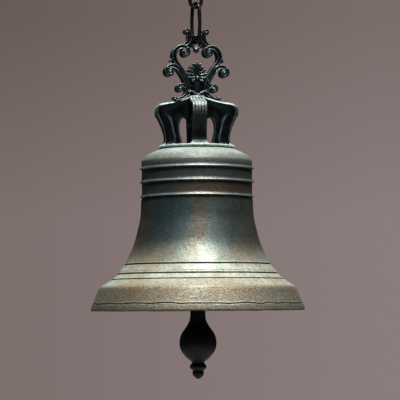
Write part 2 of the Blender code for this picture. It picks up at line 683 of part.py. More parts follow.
def wire_loop(path, radius, sides):
    """A closed round wire along points of (across, up)."""
    bm = bmesh.new()
    rings = []
    count = len(path)
    for i, (x, z) in enumerate(path):
        before = Vector(path[i - 1])
        after = Vector(path[(i + 1) % count])
        along = (after - before).normalized()
        out = Vector((along.y, 0.0, -along.x))
        ring = []
        for k in range(sides):
            a = math.tau * k / sides
            spot = Vector((x, 0.0, z)) + out * radius * math.cos(a) + Vector((0, radius * math.sin(a), 0))
            ring.append(bm.verts.new(spot))
        rings.append(ring)
    for i in range(count):
        a = rings[i]
        b = rings[(i + 1) % count]
        for k in range(sides):
            n = (k + 1) % sides
            bm.faces.new((a[k], a[n], b[n], b[k]))
    return bm


def link_path():
    """Centre line of an oval link: round ends and gently bowed sides, centred on the link."""
    half_width = LINK_WIDTH / 2 - WIRE_R
    end = LINK_HALF - LINK_END_R
    sweep = 84.0
    top = arc((0.0, end), LINK_END_R, 90 - sweep, 90 + sweep, 8)
    left = smooth_path([top[-1], (-half_width, 0.0), (top[-1][0], -top[-1][1])], 3)[1:-1]
    bottom = [(x, -z) for x, z in reversed(top)]
    right = [(-x, -z) for x, z in left]
    return top + left + bottom + right


def make_link(name, pivot, drop):
    """A forged link whose middle hangs so far below its pivot."""
    link = finish_mesh(wire_loop(link_path(), WIRE_R, 10), name, chain_steel())
    link.data.transform(Matrix.Translation((0, 0, -drop * MM)))
    place(link, pivot)


def make_ceiling_eye(parent):
    path = arc((0.0, RING_Z), RING_R, -90, 255, 23)
    eye = finish_mesh(wire_loop(path, RING_WIRE_R, 10), "ceiling_eye", chain_steel())
    low = RING_Z + RING_R
    stem = turned_object("stem", chain_steel(),
                         rod_profile(RING_SHANK_R, low, RING_TOP_Z + RING_SHANK_LENGTH - 3.0))
    join_solid(eye, [stem])
    place(eye, parent, 0.0, RING_TURN)
    nut = hex_nut("ceiling_lock_nut", zinc_steel(), LOCK_NUT_FLATS, RING_SHANK_R + THREAD_GAP,
                  RING_TOP_Z + GAP, LOCK_NUT_THICK)
    place(nut, parent)


def make_ceiling_plate(parent):
    """Round plate with a threaded boss for the eye and countersunk screw holes."""
    under = MOUNT_Z - PLATE_THICK
    bore = RING_SHANK_R + THREAD_GAP
    socket_top = BOSS_UNDER_Z + PLATE_BOSS_DROP + 1.5
    profile = [(0.0, socket_top), (bore, socket_top), (bore, BOSS_UNDER_Z), (PLATE_BOSS_R, BOSS_UNDER_Z),
               (PLATE_BOSS_R + 1.5, under), (PLATE_R - 1.5, under), (PLATE_R, under + 1.5),
               (PLATE_R, MOUNT_Z), (0.0, MOUNT_Z)]
    plate = turned_object("ceiling_plate", chain_steel(), profile, ROUND_LARGE // 2)
    holes = []
    for k in range(SCREW_COUNT):
        angle = math.tau * (k + 0.5) / SCREW_COUNT
        spot = (SCREW_CIRCLE_R * math.cos(angle), SCREW_CIRCLE_R * math.sin(angle))
        sink = [(0.0, under - 1.0), (2 * SCREW_HOLE_R + 1.0, under - 1.0), (SCREW_HOLE_R, under + 3.0),
                (SCREW_HOLE_R, MOUNT_Z + 2.0), (0.0, MOUNT_Z + 2.0)]
        cutter = turned_object("countersink", zinc_steel(), sink)
        cutter.data.transform(Matrix.Translation((spot[0] * MM, spot[1] * MM, 0.0)))
        holes.append(cutter)
    join_solid(plate, holes, "DIFFERENCE")
    place(plate, parent)


def build():
    clear_scene()
    ceiling = empty("ceiling_frame")
    lip = empty("lip_level", ceiling, -MOUNT_Z)
    make_ceiling_plate(lip)
    make_ceiling_eye(lip)
    upper_pivot = empty("upper_link_pivot", lip, RING_WIRE_Z, UPPER_TURN)
    make_link("upper_link", upper_pivot, RING_WIRE_Z - UPPER_Z)
    hanger_pivot = empty("hanger_link_pivot", lip, UPPER_WIRE_Z, HANGER_TURN)
    make_link("hanger_link", hanger_pivot, UPPER_WIRE_Z - HANGER_Z)
    bell_pivot = empty("bell_pivot", lip, EYE_WIRE_Z)
    bell = empty("bell_lip_level", bell_pivot, -EYE_WIRE_Z)
    make_finial(bell)
    make_crown(bell)
    make_gasket(bell)
    make_shell(bell)
    make_bolts(bell)
    make_fork(bell)
    make_shank_fastening(bell)
    make_pin(bell)
    make_side_washers(bell)
    clapper_pivot = empty("clapper_pivot", bell, PIN_Z)
    make_clapper(clapper_pivot)
    bpy.context.view_layer.update()


build()
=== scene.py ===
import math

import bmesh
import bpy
import numpy as np
from mathutils import Matrix, Vector, noise


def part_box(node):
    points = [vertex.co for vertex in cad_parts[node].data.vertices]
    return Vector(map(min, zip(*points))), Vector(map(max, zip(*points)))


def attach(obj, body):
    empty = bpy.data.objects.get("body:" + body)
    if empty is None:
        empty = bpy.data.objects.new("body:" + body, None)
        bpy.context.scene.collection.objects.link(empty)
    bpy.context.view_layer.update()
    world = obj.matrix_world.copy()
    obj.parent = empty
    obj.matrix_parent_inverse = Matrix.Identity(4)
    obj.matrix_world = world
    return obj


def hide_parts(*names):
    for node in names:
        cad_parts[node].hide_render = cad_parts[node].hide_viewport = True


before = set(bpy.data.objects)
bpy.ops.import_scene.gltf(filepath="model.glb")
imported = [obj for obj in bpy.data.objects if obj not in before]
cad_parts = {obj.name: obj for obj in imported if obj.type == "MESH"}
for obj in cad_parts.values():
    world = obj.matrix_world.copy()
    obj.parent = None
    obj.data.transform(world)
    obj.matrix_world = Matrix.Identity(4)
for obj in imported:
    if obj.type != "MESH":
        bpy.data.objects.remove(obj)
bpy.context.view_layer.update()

# ------------------------------------------------------------------ Studio
# A bell this size is lit from high in front by one lamp and a wide one overhead, with a pale floor
# well below it and a plain warm grey room round it. The camera stands three metres off, just under
# the lip.
MM = 0.001
shell_low, shell_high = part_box("bell_shell")
LIP_Z = shell_low.z
LIP_R = (shell_high.x - shell_low.x) / 2
CAMERA_DISTANCE = 3.0
CAMERA_TURN = math.radians(5.0)
CAMERA_BELOW_LIP = 8.0 * MM
CAMERA_ROLL = math.radians(-0.4)
LENS = 192.0
AIM_HEIGHT = 155.6
AIM_SIDE = 4.2 * MM
FLOOR_DROP = 0.80
LAMP_AIM = 150.0
WALL_DARK = (0.142, 0.105, 0.094)
WALL_PALE = (0.258, 0.205, 0.201)
GLOW_COLOR = (0.86, 0.94, 1.0)
GLOW = 0.022


def above_lip(height):
    """A height in millimetres above the lip, as Z in the frame."""
    return LIP_Z + height * MM


def look_at(obj, target):
    obj.rotation_mode = "QUATERNION"
    obj.rotation_quaternion = (Vector(target) - obj.location).to_track_quat("-Z", "Y")


def make_camera():
    data = bpy.data.cameras.new("studio_camera")
    data.lens = LENS
    data.sensor_width = 36.0
    data.clip_start = 0.05
    data.clip_end = 60.0
    cam = bpy.data.objects.new("studio_camera", data)
    bpy.context.collection.objects.link(cam)
    right = (math.cos(CAMERA_TURN), -math.sin(CAMERA_TURN))
    cam.location = (right[1] * CAMERA_DISTANCE, -right[0] * CAMERA_DISTANCE, LIP_Z - CAMERA_BELOW_LIP)
    look_at(cam, (right[0] * AIM_SIDE, right[1] * AIM_SIDE, above_lip(AIM_HEIGHT)))
    roll = Matrix.Rotation(CAMERA_ROLL, 4, "Z").to_quaternion()
    cam.rotation_quaternion = cam.rotation_quaternion @ roll
    bpy.context.scene.camera = cam


def soft_lamp(name, place, size, power, color):
    """A round lamp at a place in metres from the middle of the waist, which it faces."""
    data = bpy.data.lights.new(name, "AREA")
    data.shape = "DISK"
    data.size = size
    data.energy = power
    data.color = color
    lamp = bpy.data.objects.new(name, data)
    bpy.context.collection.objects.link(lamp)
    lamp.location = (place[0], place[1], above_lip(LAMP_AIM) + place[2])
    look_at(lamp, (0.0, 0.0, above_lip(LAMP_AIM)))


def put(tree, kind, settings=None, **inputs):
    """Adds a node; settings are its attributes, inputs are values or sockets by name or as i0, i1, ..."""
    node = tree.nodes.new(kind)
    for key, value in (settings or {}).items():
        setattr(node, key, value)
    for key, value in inputs.items():
        numbered = key[0] == "i" and key[1:].isdigit()
        socket = node.inputs[int(key[1:]) if numbered else key.replace("_", " ")]
        if isinstance(value, bpy.types.NodeSocket):
            tree.links.new(value, socket)
        else:
            socket.default_value = value
    return node


def math_node(tree, operation, a, b=0.0, clamp=False):
    node = put(tree, "ShaderNodeMath", {"operation": operation, "use_clamp": clamp}, i0=a, i1=b)
    return node.outputs[0]


def times(tree, a, b):
    return math_node(tree, "MULTIPLY", a, b)


def plus(tree, a, b):
    return math_node(tree, "ADD", a, b)


def minus(tree, a, b, clamp=False):
    return math_node(tree, "SUBTRACT", a, b, clamp)


def blend_color(tree, fac, a, b, mode="MIX"):
    """Mixes two colours, given as sockets or (r, g, b), by a factor."""
    node = put(tree, "ShaderNodeMix", {"data_type": "RGBA", "blend_type": mode})
    sockets = [socket for socket in node.inputs if socket.enabled]
    for socket, value in zip(sockets, (fac, a, b)):
        if isinstance(value, bpy.types.NodeSocket):
            tree.links.new(value, socket)
        else:
            socket.default_value = (*value, 1.0) if isinstance(value, tuple) else value
    return [socket for socket in node.outputs if socket.enabled][0]


def make_room():
    """A plain room: the camera sees a wall that pales to the right and down, the bell only a faint glow."""
    world = bpy.data.worlds.new("room")
    bpy.context.scene.world = world
    world.use_nodes = True
    tree = world.node_tree
    tree.nodes.clear()
    way = put(tree, "ShaderNodeTexCoord").outputs["Generated"]
    parts = put(tree, "ShaderNodeSeparateXYZ", Vector=way)
    sideways = put(tree, "ShaderNodeMapRange", i0=parts.outputs["X"], i1=0.0, i2=0.17, i3=0.0, i4=0.45)
    downward = put(tree, "ShaderNodeMapRange", i0=parts.outputs["Z"], i1=0.140, i2=0.045, i3=0.0, i4=0.55)
    share = plus(tree, sideways.outputs[0], downward.outputs[0])
    wall = put(tree, "ShaderNodeBackground", Color=blend_color(tree, share, WALL_DARK, WALL_PALE))
    glow = put(tree, "ShaderNodeBackground", Color=(*GLOW_COLOR, 1.0), Strength=GLOW)
    seen = put(tree, "ShaderNodeLightPath").outputs["Is Camera Ray"]
    mix = put(tree, "ShaderNodeMixShader", i0=seen, i1=glow.outputs[0], i2=wall.outputs[0])
    put(tree, "ShaderNodeOutputWorld", Surface=mix.outputs[0])


def make_floor():
    bm = bmesh.new()
    bmesh.ops.create_circle(bm, cap_ends=True, radius=2.2, segments=96)
    mesh = bpy.data.meshes.new("studio_floor")
    bm.to_mesh(mesh)
    bm.free()
    floor = bpy.data.objects.new("studio_floor", mesh)
    bpy.context.collection.objects.link(floor)
    floor.location.z = LIP_Z - FLOOR_DROP
    mat = bpy.data.materials.new("pale_floor")
    mat.use_nodes = True
    shader = mat.node_tree.nodes["Principled BSDF"]
    shader.inputs["Base Color"].default_value = (0.50, 0.48, 0.465, 1.0)
    shader.inputs["Roughness"].default_value = 0.9
    mesh.materials.append(mat)


bpy.context.scene.view_settings.view_transform = "Standard"
make_camera()
make_room()
make_floor()
soft_lamp("key_lamp", (0.14, -1.34, 2.06), 0.24, 77.0, (0.935, 0.955, 1.0))
soft_lamp("top_lamp", (0.10, -0.30, 2.6), 1.2, 64.0, (0.93, 0.97, 1.0))
soft_lamp("right_lamp", (2.0, -0.6, 2.3), 0.7, 6.0, (0.95, 0.98, 1.0))
soft_lamp("left_lamp", (-2.0, -0.6, 2.3), 0.7, 4.0, (0.92, 0.97, 1.0))

# ------------------------------------------------------------------ Bell shell
# Tin bronze poured in sand: three sharp raised lines round the shoulder, three turned lines above
# the thick sound bow, and a ragged mould joint just over the lip. Left as cast, then patinated.
WAIST_R = LIP_R - 71.2 * MM
RIBS = (160.5, 181.0, 200.0)
RIB_OUT = 2.6
# Turned lines: height, depth and width.
LINES = ((64.7, 1.5, 1.2), (51.6, 1.5, 1.2), (44.0, 1.0, 0.9))
FLARE_TOP = 154.0
JOINT_BAND = 16.0
HEAD_UNDER = 214.0
SEAT = 226.7
BORE_R = 6.4
# The outside and inside as (height above the lip, radius) in millimetres.
FLARE = ((FLARE_TOP, 78.8), (141.0, 79.2), (128.0, 80.4), (112.0, 84.0), (95.5, 88.5), (81.0, 94.5),
         (65.0, 102.6), (57.0, 109.0), (50.0, 114.0), (44.0, 121.0), (40.0, 126.6), (36.0, 133.2),
         (33.0, 137.2), (29.0, 139.5), (23.0, 142.0), (15.0, 145.2), (6.0, 148.8), (2.0, 149.8))
INSIDE = ((0.0, 148.8), (0.0, 143.0), (1.6, 141.5), (18.0, 127.0), (34.0, 117.0), (52.0, 103.1),
          (64.0, 95.7), (79.0, 88.0), (99.0, 80.0), (119.0, 74.9), (141.0, 72.0), (202.0, 70.8),
          (206.5, 69.9), (210.5, 67.2), (213.1, 63.4), (HEAD_UNDER, 58.8),
          (HEAD_UNDER, 40.0), (HEAD_UNDER, BORE_R))
# Stains: angle round from the front, height, radius, reach in metres, stretch and strength. The noise
# that makes them ragged shifts them by STAIN_DRIFT on the whole.
STAIN_DRIFT = 0.015
TEAL_STAINS = ((-28, 140, 79, 0.062, (1.0, 1.0, 1.0), 0.9), (-42, 118, 82, 0.05, (1.0, 1.0, 1.0), 0.65),
               (30, 132, 79, 0.058, (1.0, 1.0, 0.8), 0.6), (24, 188, 78, 0.05, (0.6, 0.6, 1.6), 0.5),
               (-20, 190, 78, 0.06, (0.6, 0.6, 2.0), 0.6), (150, 130, 80, 0.07, (1.0, 1.0, 0.8), 0.8),
               (210, 110, 84, 0.05, (1.0, 1.0, 0.8), 0.6))
# The first brown entry, a tall narrow streak on the waist straight in front of the camera, is a painted warm
# reflection; the rest are stains.
BROWN_STAINS_AND_SHEEN = ((2, 132, 80, 0.036, (1.8, 1.8, 0.65), 0.55), (8, 171, 78, 0.06, (0.8, 0.8, 3.6), 0.75),
                (52, 171, 78, 0.05, (0.8, 0.8, 3.6), 0.8), (58, 115, 84, 0.05, (1.5, 1.5, 0.8), 0.4),
                (-66, 118, 84, 0.05, (1.2, 1.2, 0.8), 0.4), (30, 20, 143, 0.07, (0.7, 0.7, 1.5), 0.5),
                (-35, 22, 143, 0.08, (0.7, 0.7, 1.5), 0.5), (120, 90, 90, 0.08, (1.0, 1.0, 0.7), 0.6),
                (190, 30, 140, 0.09, (0.7, 0.7, 1.2), 0.5))
RUST_STAINS = ((-44, 33, 134, 0.050, (0.8, 0.8, 1.8), 0.55), (-20, 24, 140, 0.045, (0.8, 0.8, 2.0), 0.35),
               (-40, 72, 100, 0.040, (0.8, 0.8, 1.6), 0.40), (26, 30, 138, 0.055, (0.7, 0.7, 2.2), 0.40),
               (62, 40, 126, 0.045, (0.8, 0.8, 1.6), 0.45), (46, 76, 98, 0.040, (0.8, 0.8, 1.5), 0.35),
               (118, 34, 134, 0.060, (0.7, 0.7, 1.6), 0.5), (205, 36, 132, 0.060, (0.7, 0.7, 1.6), 0.5))
BARE_BRONZE = (0.255, 0.285, 0.235)
BROWN_BRONZE = (0.20, 0.185, 0.125)
GREY_GREEN = (0.17, 0.215, 0.195)
TEAL = (0.070, 0.128, 0.142)
UMBER_STAIN_AND_SHEEN = (0.20, 0.135, 0.075)
RUST_BROWN = (0.26, 0.165, 0.075)
CHALK_GREEN = (0.37, 0.45, 0.345)
CHALK_CREAM = (0.60, 0.575, 0.435)
PAINTED_RIB_SHADOW = (0.012, 0.013, 0.011)
DULL_BROWN = (0.050, 0.043, 0.030)
DULL_GREEN = (0.105, 0.112, 0.086)


def smooth_path(points, steps):
    """Points on a Catmull-Rom curve through the given points of any dimension."""
    pts = np.asarray(points, float)
    ends = np.vstack([2 * pts[0] - pts[1], pts, 2 * pts[-1] - pts[-2]])
    t = np.arange(steps)[:, None] / steps
    path = [0.5 * (2 * b + (c - a) * t + (2 * a - 5 * b + 4 * c - d) * t ** 2
                   + (3 * b - a - 3 * c + d) * t ** 3)
            for a, b, c, d in zip(ends, ends[1:], ends[2:], ends[3:])]
    return np.vstack(path + [pts[-1:]])


def new_piece(name, verts, faces):
    mesh = bpy.data.meshes.new(name)
    mesh.from_pydata([tuple(v) for v in verts], [], faces)
    mesh.update()
    mesh.shade_smooth()
    piece = bpy.data.objects.new(name, mesh)
    bpy.context.collection.objects.link(piece)
    return piece


def ring_faces(rings, sides):
    """Quads between successive rings of equal length, the last of them joined to the first."""
    faces = []
    for i in range(rings):
        a = i * sides
        b = ((i + 1) % rings) * sides
        faces += [(a + k, a + (k + 1) % sides, b + (k + 1) % sides, b + k) for k in range(sides)]
    return faces


def rib_points(height, wall):
    """A sharp raised line: nearly flat underneath, sloping back to the wall above."""
    return [(height + 3.8, wall), (height + 2.2, wall + 0.3), (height + 1.2, wall + 0.9),
            (height + 0.5, wall + RIB_OUT - 0.3), (height - 0.2, wall + RIB_OUT),
            (height - 0.9, wall + RIB_OUT - 0.15), (height - 1.3, wall + RIB_OUT - 0.7),
            (height - 1.6, wall + 0.5), (height - 2.2, wall)]


def shell_profile():
    """(height, radius) points in millimetres, from the crown's seat down the outside and up inside."""
    wall = WAIST_R / MM - 1.1
    seat = [(SEAT, BORE_R), (SEAT, 30.0), (SEAT, 51.5), (226.3, 53.5), (225.5, 56.0)]
    dome = smooth_path([(225.5, 56.0), (222.2, 63.6), (218.6, 70.8), (214.6, 75.6), (210.6, 77.9),
                        (208.2, 78.2)], 6)[1:].tolist()
    ribs = []
    for height in reversed(RIBS):
        ribs += rib_points(height, wall)
        ribs += [(height - 5.0, wall), (height - 9.0, wall), (height - 13.0, wall)]
    flare = smooth_path(FLARE, 12)
    keep = np.ones(len(flare), bool)
    marks = []
    for height, depth, width in LINES:
        keep &= abs(flare[:, 0] - height) > 2.6 * width
        radius = np.interp(-height, -flare[:, 0], flare[:, 1])
        slope = np.interp(-height + 1, -flare[:, 0], flare[:, 1]) - radius
        for step, cut in ((2.6, 0.0), (1.7, -0.42), (1.0, -0.5), (0.55, 0.0), (0.25, 0.9), (-0.15, 1.0),
                          (-0.55, 0.5), (-0.9, 0.1), (-2.2, 0.0)):
            marks.append((height + step * width, radius - slope * step * width - cut * depth))
    flare = np.vstack([flare[keep], marks])
    flare = flare[np.argsort(-flare[:, 0])].tolist()
    lip = [(0.9, 150.0), (0.3, 149.6)]
    inside = smooth_path(INSIDE, 4).tolist()
    return np.array(seat + dome + ribs[:-3] + flare + lip + inside)


def refine(profile, longest):
    """Adds points so that no step of the profile is longer than the given length."""
    fine = [profile[0]]
    for a, b in zip(profile, profile[1:]):
        count = max(1, int(np.hypot(*(b - a)) / longest))
        fine += [a + (b - a) * (k + 1) / count for k in range(count)]
    return np.array(fine)


def mould_joint(angle):
    """Height of the ragged joint line above the lip at an angle round the bell."""
    wave = noise.noise(Vector((math.cos(angle) * 7.0, math.sin(angle) * 7.0, 3.1)))
    ripple = noise.noise(Vector((math.cos(angle) * 24.0, math.sin(angle) * 24.0, 8.7)))
    return 10.4 + 0.8 * math.sin(angle) + 2.1 * wave + 0.7 * ripple


def outer_wall(height):
    """Radius of the outside at a height, below the ribs."""
    return np.interp(-height, [-h for h, _ in FLARE], [r for _, r in FLARE])


def make_shell():
    """The revolved profile, with sand-cast unevenness and the ragged joint, in finer rings near the lip."""
    sides = 288
    profile = refine(shell_profile(), 2.6)
    low = profile[:, 0] < JOINT_BAND
    outer = profile[:, 1] > np.interp(profile[:, 0], (0.0, JOINT_BAND), (145.0, 135.0))
    coarse = profile[~(low & outer)]
    split = np.argmax(low & outer)
    fine = np.arange(15.8, 0.9, -0.42)
    band = np.vstack([np.column_stack([fine, outer_wall(fine)]), [(0.5, 149.9), (0.1, 149.5)]])
    profile = np.vstack([coarse[:split], band, coarse[split:]])
    verts = []
    cracks = []
    outsides = []
    for height, radius in profile:
        edge = outer_wall(height) - 2.5 if height < FLARE_TOP else 74.0
        outside = height > HEAD_UNDER + 0.5 or radius > edge
        on_band = outside and 0.6 < height < JOINT_BAND
        for k in range(sides):
            angle = math.tau * k / sides
            x = math.cos(angle)
            y = math.sin(angle)
            spot = Vector((x * radius, y * radius, height))
            out = radius
            if radius > 52.0:
                out += 0.28 * noise.noise(spot * 0.022) + 0.10 * noise.noise(spot * 0.11 + Vector((5, 1, 2)))
            if outside and radius > 112.0:
                out += 0.11 * noise.noise(spot * 0.42)
            lift = 0.0
            crack = 0.0
            if on_band:
                gap = height - mould_joint(angle)
                crack = math.exp(-((gap + 0.25) / 0.55) ** 2)
                out += 0.65 * math.exp(-((gap - 0.9) / 0.6) ** 2) - 1.2 * crack
                out += 0.22 / (1.0 + math.exp(gap * 3.0))
            if radius > 140.0 and height < 1.2:
                lift = 0.35 * noise.noise(Vector((x * 16.0, y * 16.0, 1.5)))
            verts.append((x * out * MM, y * out * MM, above_lip(height + lift)))
            cracks.append(crack)
            outsides.append(float(outside))
    shell = new_piece("bell_shell_cast", verts, ring_faces(len(profile), sides))
    for name, values in (("crack", cracks), ("outside", outsides)):
        shell.data.attributes.new(name, "FLOAT", "POINT").data.foreach_set("value", values)
    return shell


def shader_group(name, inputs, outputs):
    """An empty shader node group with float or colour sockets, and its input and output nodes."""
    tree = bpy.data.node_groups.new(name, "ShaderNodeTree")
    kinds = {"f": "NodeSocketFloat", "c": "NodeSocketColor", "v": "NodeSocketVector"}
    for label, kind, value in inputs:
        socket = tree.interface.new_socket(label, in_out="INPUT", socket_type=kinds[kind])
        if value is not None:
            socket.default_value = value
    for label, kind in outputs:
        tree.interface.new_socket(label, in_out="OUTPUT", socket_type=kinds[kind])
    return tree, tree.nodes.new("NodeGroupInput"), tree.nodes.new("NodeGroupOutput")


def object_place(tree):
    return put(tree, "ShaderNodeTexCoord").outputs["Object"]


def mark(tree, name):
    """A value that the mesh stores at its points."""
    return put(tree, "ShaderNodeAttribute", {"attribute_name": name}).outputs["Fac"]


def over_lip(tree, where):
    """Height above the bell's lip, in metres."""
    return minus(tree, put(tree, "ShaderNodeSeparateXYZ", Vector=where).outputs[2], LIP_Z)


def from_axis(tree, where):
    """Distance from the bell's axis, in metres."""
    flat = put(tree, "ShaderNodeVectorMath", {"operation": "MULTIPLY"}, i0=where, i1=(1.0, 1.0, 0.0))
    return put(tree, "ShaderNodeVectorMath", {"operation": "LENGTH"}, i0=flat.outputs[0]).outputs["Value"]


def paint(tree, shader, color, roughness):
    tree.links.new(color, shader.inputs["Base Color"])
    tree.links.new(roughness, shader.inputs["Roughness"])


def bump(tree, shader, strength, distance, height):
    node = put(tree, "ShaderNodeBump", Strength=strength, Distance=distance, Height=height)
    tree.links.new(node.outputs[0], shader.inputs["Normal"])


def ramp(tree, value, low, high, to_low=0.0, to_high=1.0):
    node = put(tree, "ShaderNodeMapRange", {"interpolation_type": "SMOOTHSTEP"}, i0=value, i1=low, i2=high,
               i3=to_low, i4=to_high)
    return node.outputs[0]


def make_sand_grain():
    """Pitted sand-cast skin: a height in millimetre-sized grains and a mask of its pits."""
    tree, given, out = shader_group("sand_grain", [("Scale", "f", 1.0)], [("Height", "f"), ("Pits", "f")])
    where = object_place(tree)
    fine = times(tree, given.outputs["Scale"], 900.0)
    coarse = times(tree, given.outputs["Scale"], 320.0)
    grain = put(tree, "ShaderNodeTexNoise", Vector=where, Scale=fine, Detail=3.0, Roughness=0.65).outputs[0]
    lumps = put(tree, "ShaderNodeTexNoise", Vector=where, Scale=coarse, Detail=4.0, Roughness=0.6).outputs[0]
    cells = put(tree, "ShaderNodeTexVoronoi", Vector=where, Scale=coarse).outputs["Distance"]
    pits = ramp(tree, cells, 0.22, 0.05)
    sparse = ramp(tree, lumps, 0.52, 0.66)
    pits = times(tree, pits, sparse)
    height = plus(tree, times(tree, grain, 0.5), lumps)
    height = minus(tree, height, times(tree, pits, 0.7))
    tree.links.new(height, out.inputs["Height"])
    tree.links.new(pits, out.inputs["Pits"])
    return tree


def make_cloud():
    """Soft uneven cover, such as verdigris: a mask with a set scale, amount and edge, run down by rain."""
    tree, given, out = shader_group("patina_cloud", [("Scale", "f", 20.0), ("Cover", "f", 0.5),
                                                    ("Soft", "f", 0.15), ("Run", "f", 0.5)],
                                    [("Mask", "f")])
    where = object_place(tree)
    parts = put(tree, "ShaderNodeSeparateXYZ", Vector=where)
    squeezed = put(tree, "ShaderNodeCombineXYZ", X=parts.outputs[0], Y=parts.outputs[1],
                   Z=times(tree, parts.outputs[2], given.outputs["Run"]))
    value = put(tree, "ShaderNodeTexNoise", Vector=squeezed.outputs[0], Scale=given.outputs["Scale"],
                Detail=6.0, Roughness=0.62).outputs[0]
    low = minus(tree, given.outputs["Cover"], given.outputs["Soft"])
    high = plus(tree, given.outputs["Cover"], given.outputs["Soft"])
    tree.links.new(ramp(tree, value, low, high), out.inputs["Mask"])
    return tree


def make_stain():
    """A soft stain at a place on the casting: a mask that fades out at the given reach."""
    tree, given, out = shader_group("stain_spot", [("Place", "v", None), ("Stretch", "v", (1.0, 1.0, 1.0)),
                                                   ("Reach", "f", 0.03)], [("Mask", "f")])
    where = object_place(tree)
    ragged = put(tree, "ShaderNodeTexNoise", Vector=where, Scale=45.0, Detail=4.0, Roughness=0.6)
    shift = put(tree, "ShaderNodeVectorMath", {"operation": "SCALE"}, i0=ragged.outputs["Color"],
                Scale=2.0 * STAIN_DRIFT)
    moved = put(tree, "ShaderNodeVectorMath", {"operation": "ADD"}, i0=where, i1=shift.outputs[0])
    apart = put(tree, "ShaderNodeVectorMath", {"operation": "SUBTRACT"}, i0=moved.outputs[0],
                i1=given.outputs["Place"])
    apart = put(tree, "ShaderNodeVectorMath", {"operation": "MULTIPLY"}, i0=apart.outputs[0],
                i1=given.outputs["Stretch"])
    length = put(tree, "ShaderNodeVectorMath", {"operation": "LENGTH"}, i0=apart.outputs[0]).outputs["Value"]
    near = math_node(tree, "DIVIDE", length, given.outputs["Reach"])
    tree.links.new(ramp(tree, near, 1.0, 0.25), out.inputs["Mask"])
    return tree


sand_grain = make_sand_grain()
patina_cloud = make_cloud()
stain_spot = make_stain()


def use_group(tree, group, **inputs):
    node = tree.nodes.new("ShaderNodeGroup")
    node.node_tree = group
    for key, value in inputs.items():
        socket = node.inputs[key]
        if isinstance(value, bpy.types.NodeSocket):
            tree.links.new(value, socket)
        else:
            socket.default_value = value
    return node


def new_material(name):
    mat = bpy.data.materials.new(name)
    mat.use_nodes = True
    return mat, mat.node_tree, mat.node_tree.nodes["Principled BSDF"]


def cloud(tree, scale, cover, soft=0.12, run=0.5):
    return use_group(tree, patina_cloud, Scale=scale, Cover=cover, Soft=soft, Run=run).outputs[0]


def stain(tree, angle, height, radius, reach, stretch):
    """A stain by its angle round the bell from the front, its height above the lip and radius in mm."""
    turn = math.radians(angle) - CAMERA_TURN
    place = (math.sin(turn) * radius * MM + STAIN_DRIFT, -math.cos(turn) * radius * MM + STAIN_DRIFT,
             above_lip(height) + STAIN_DRIFT)
    return use_group(tree, stain_spot, Place=place, Reach=reach, Stretch=stretch).outputs[0]


def stained(tree, color, tint, spots):
    """A colour with stains of one tint laid over it."""
    for angle, height, radius, reach, stretch, strength in spots:
        mask = times(tree, stain(tree, angle, height, radius, reach, stretch), strength)
        color = blend_color(tree, mask, color, tint)
    return color


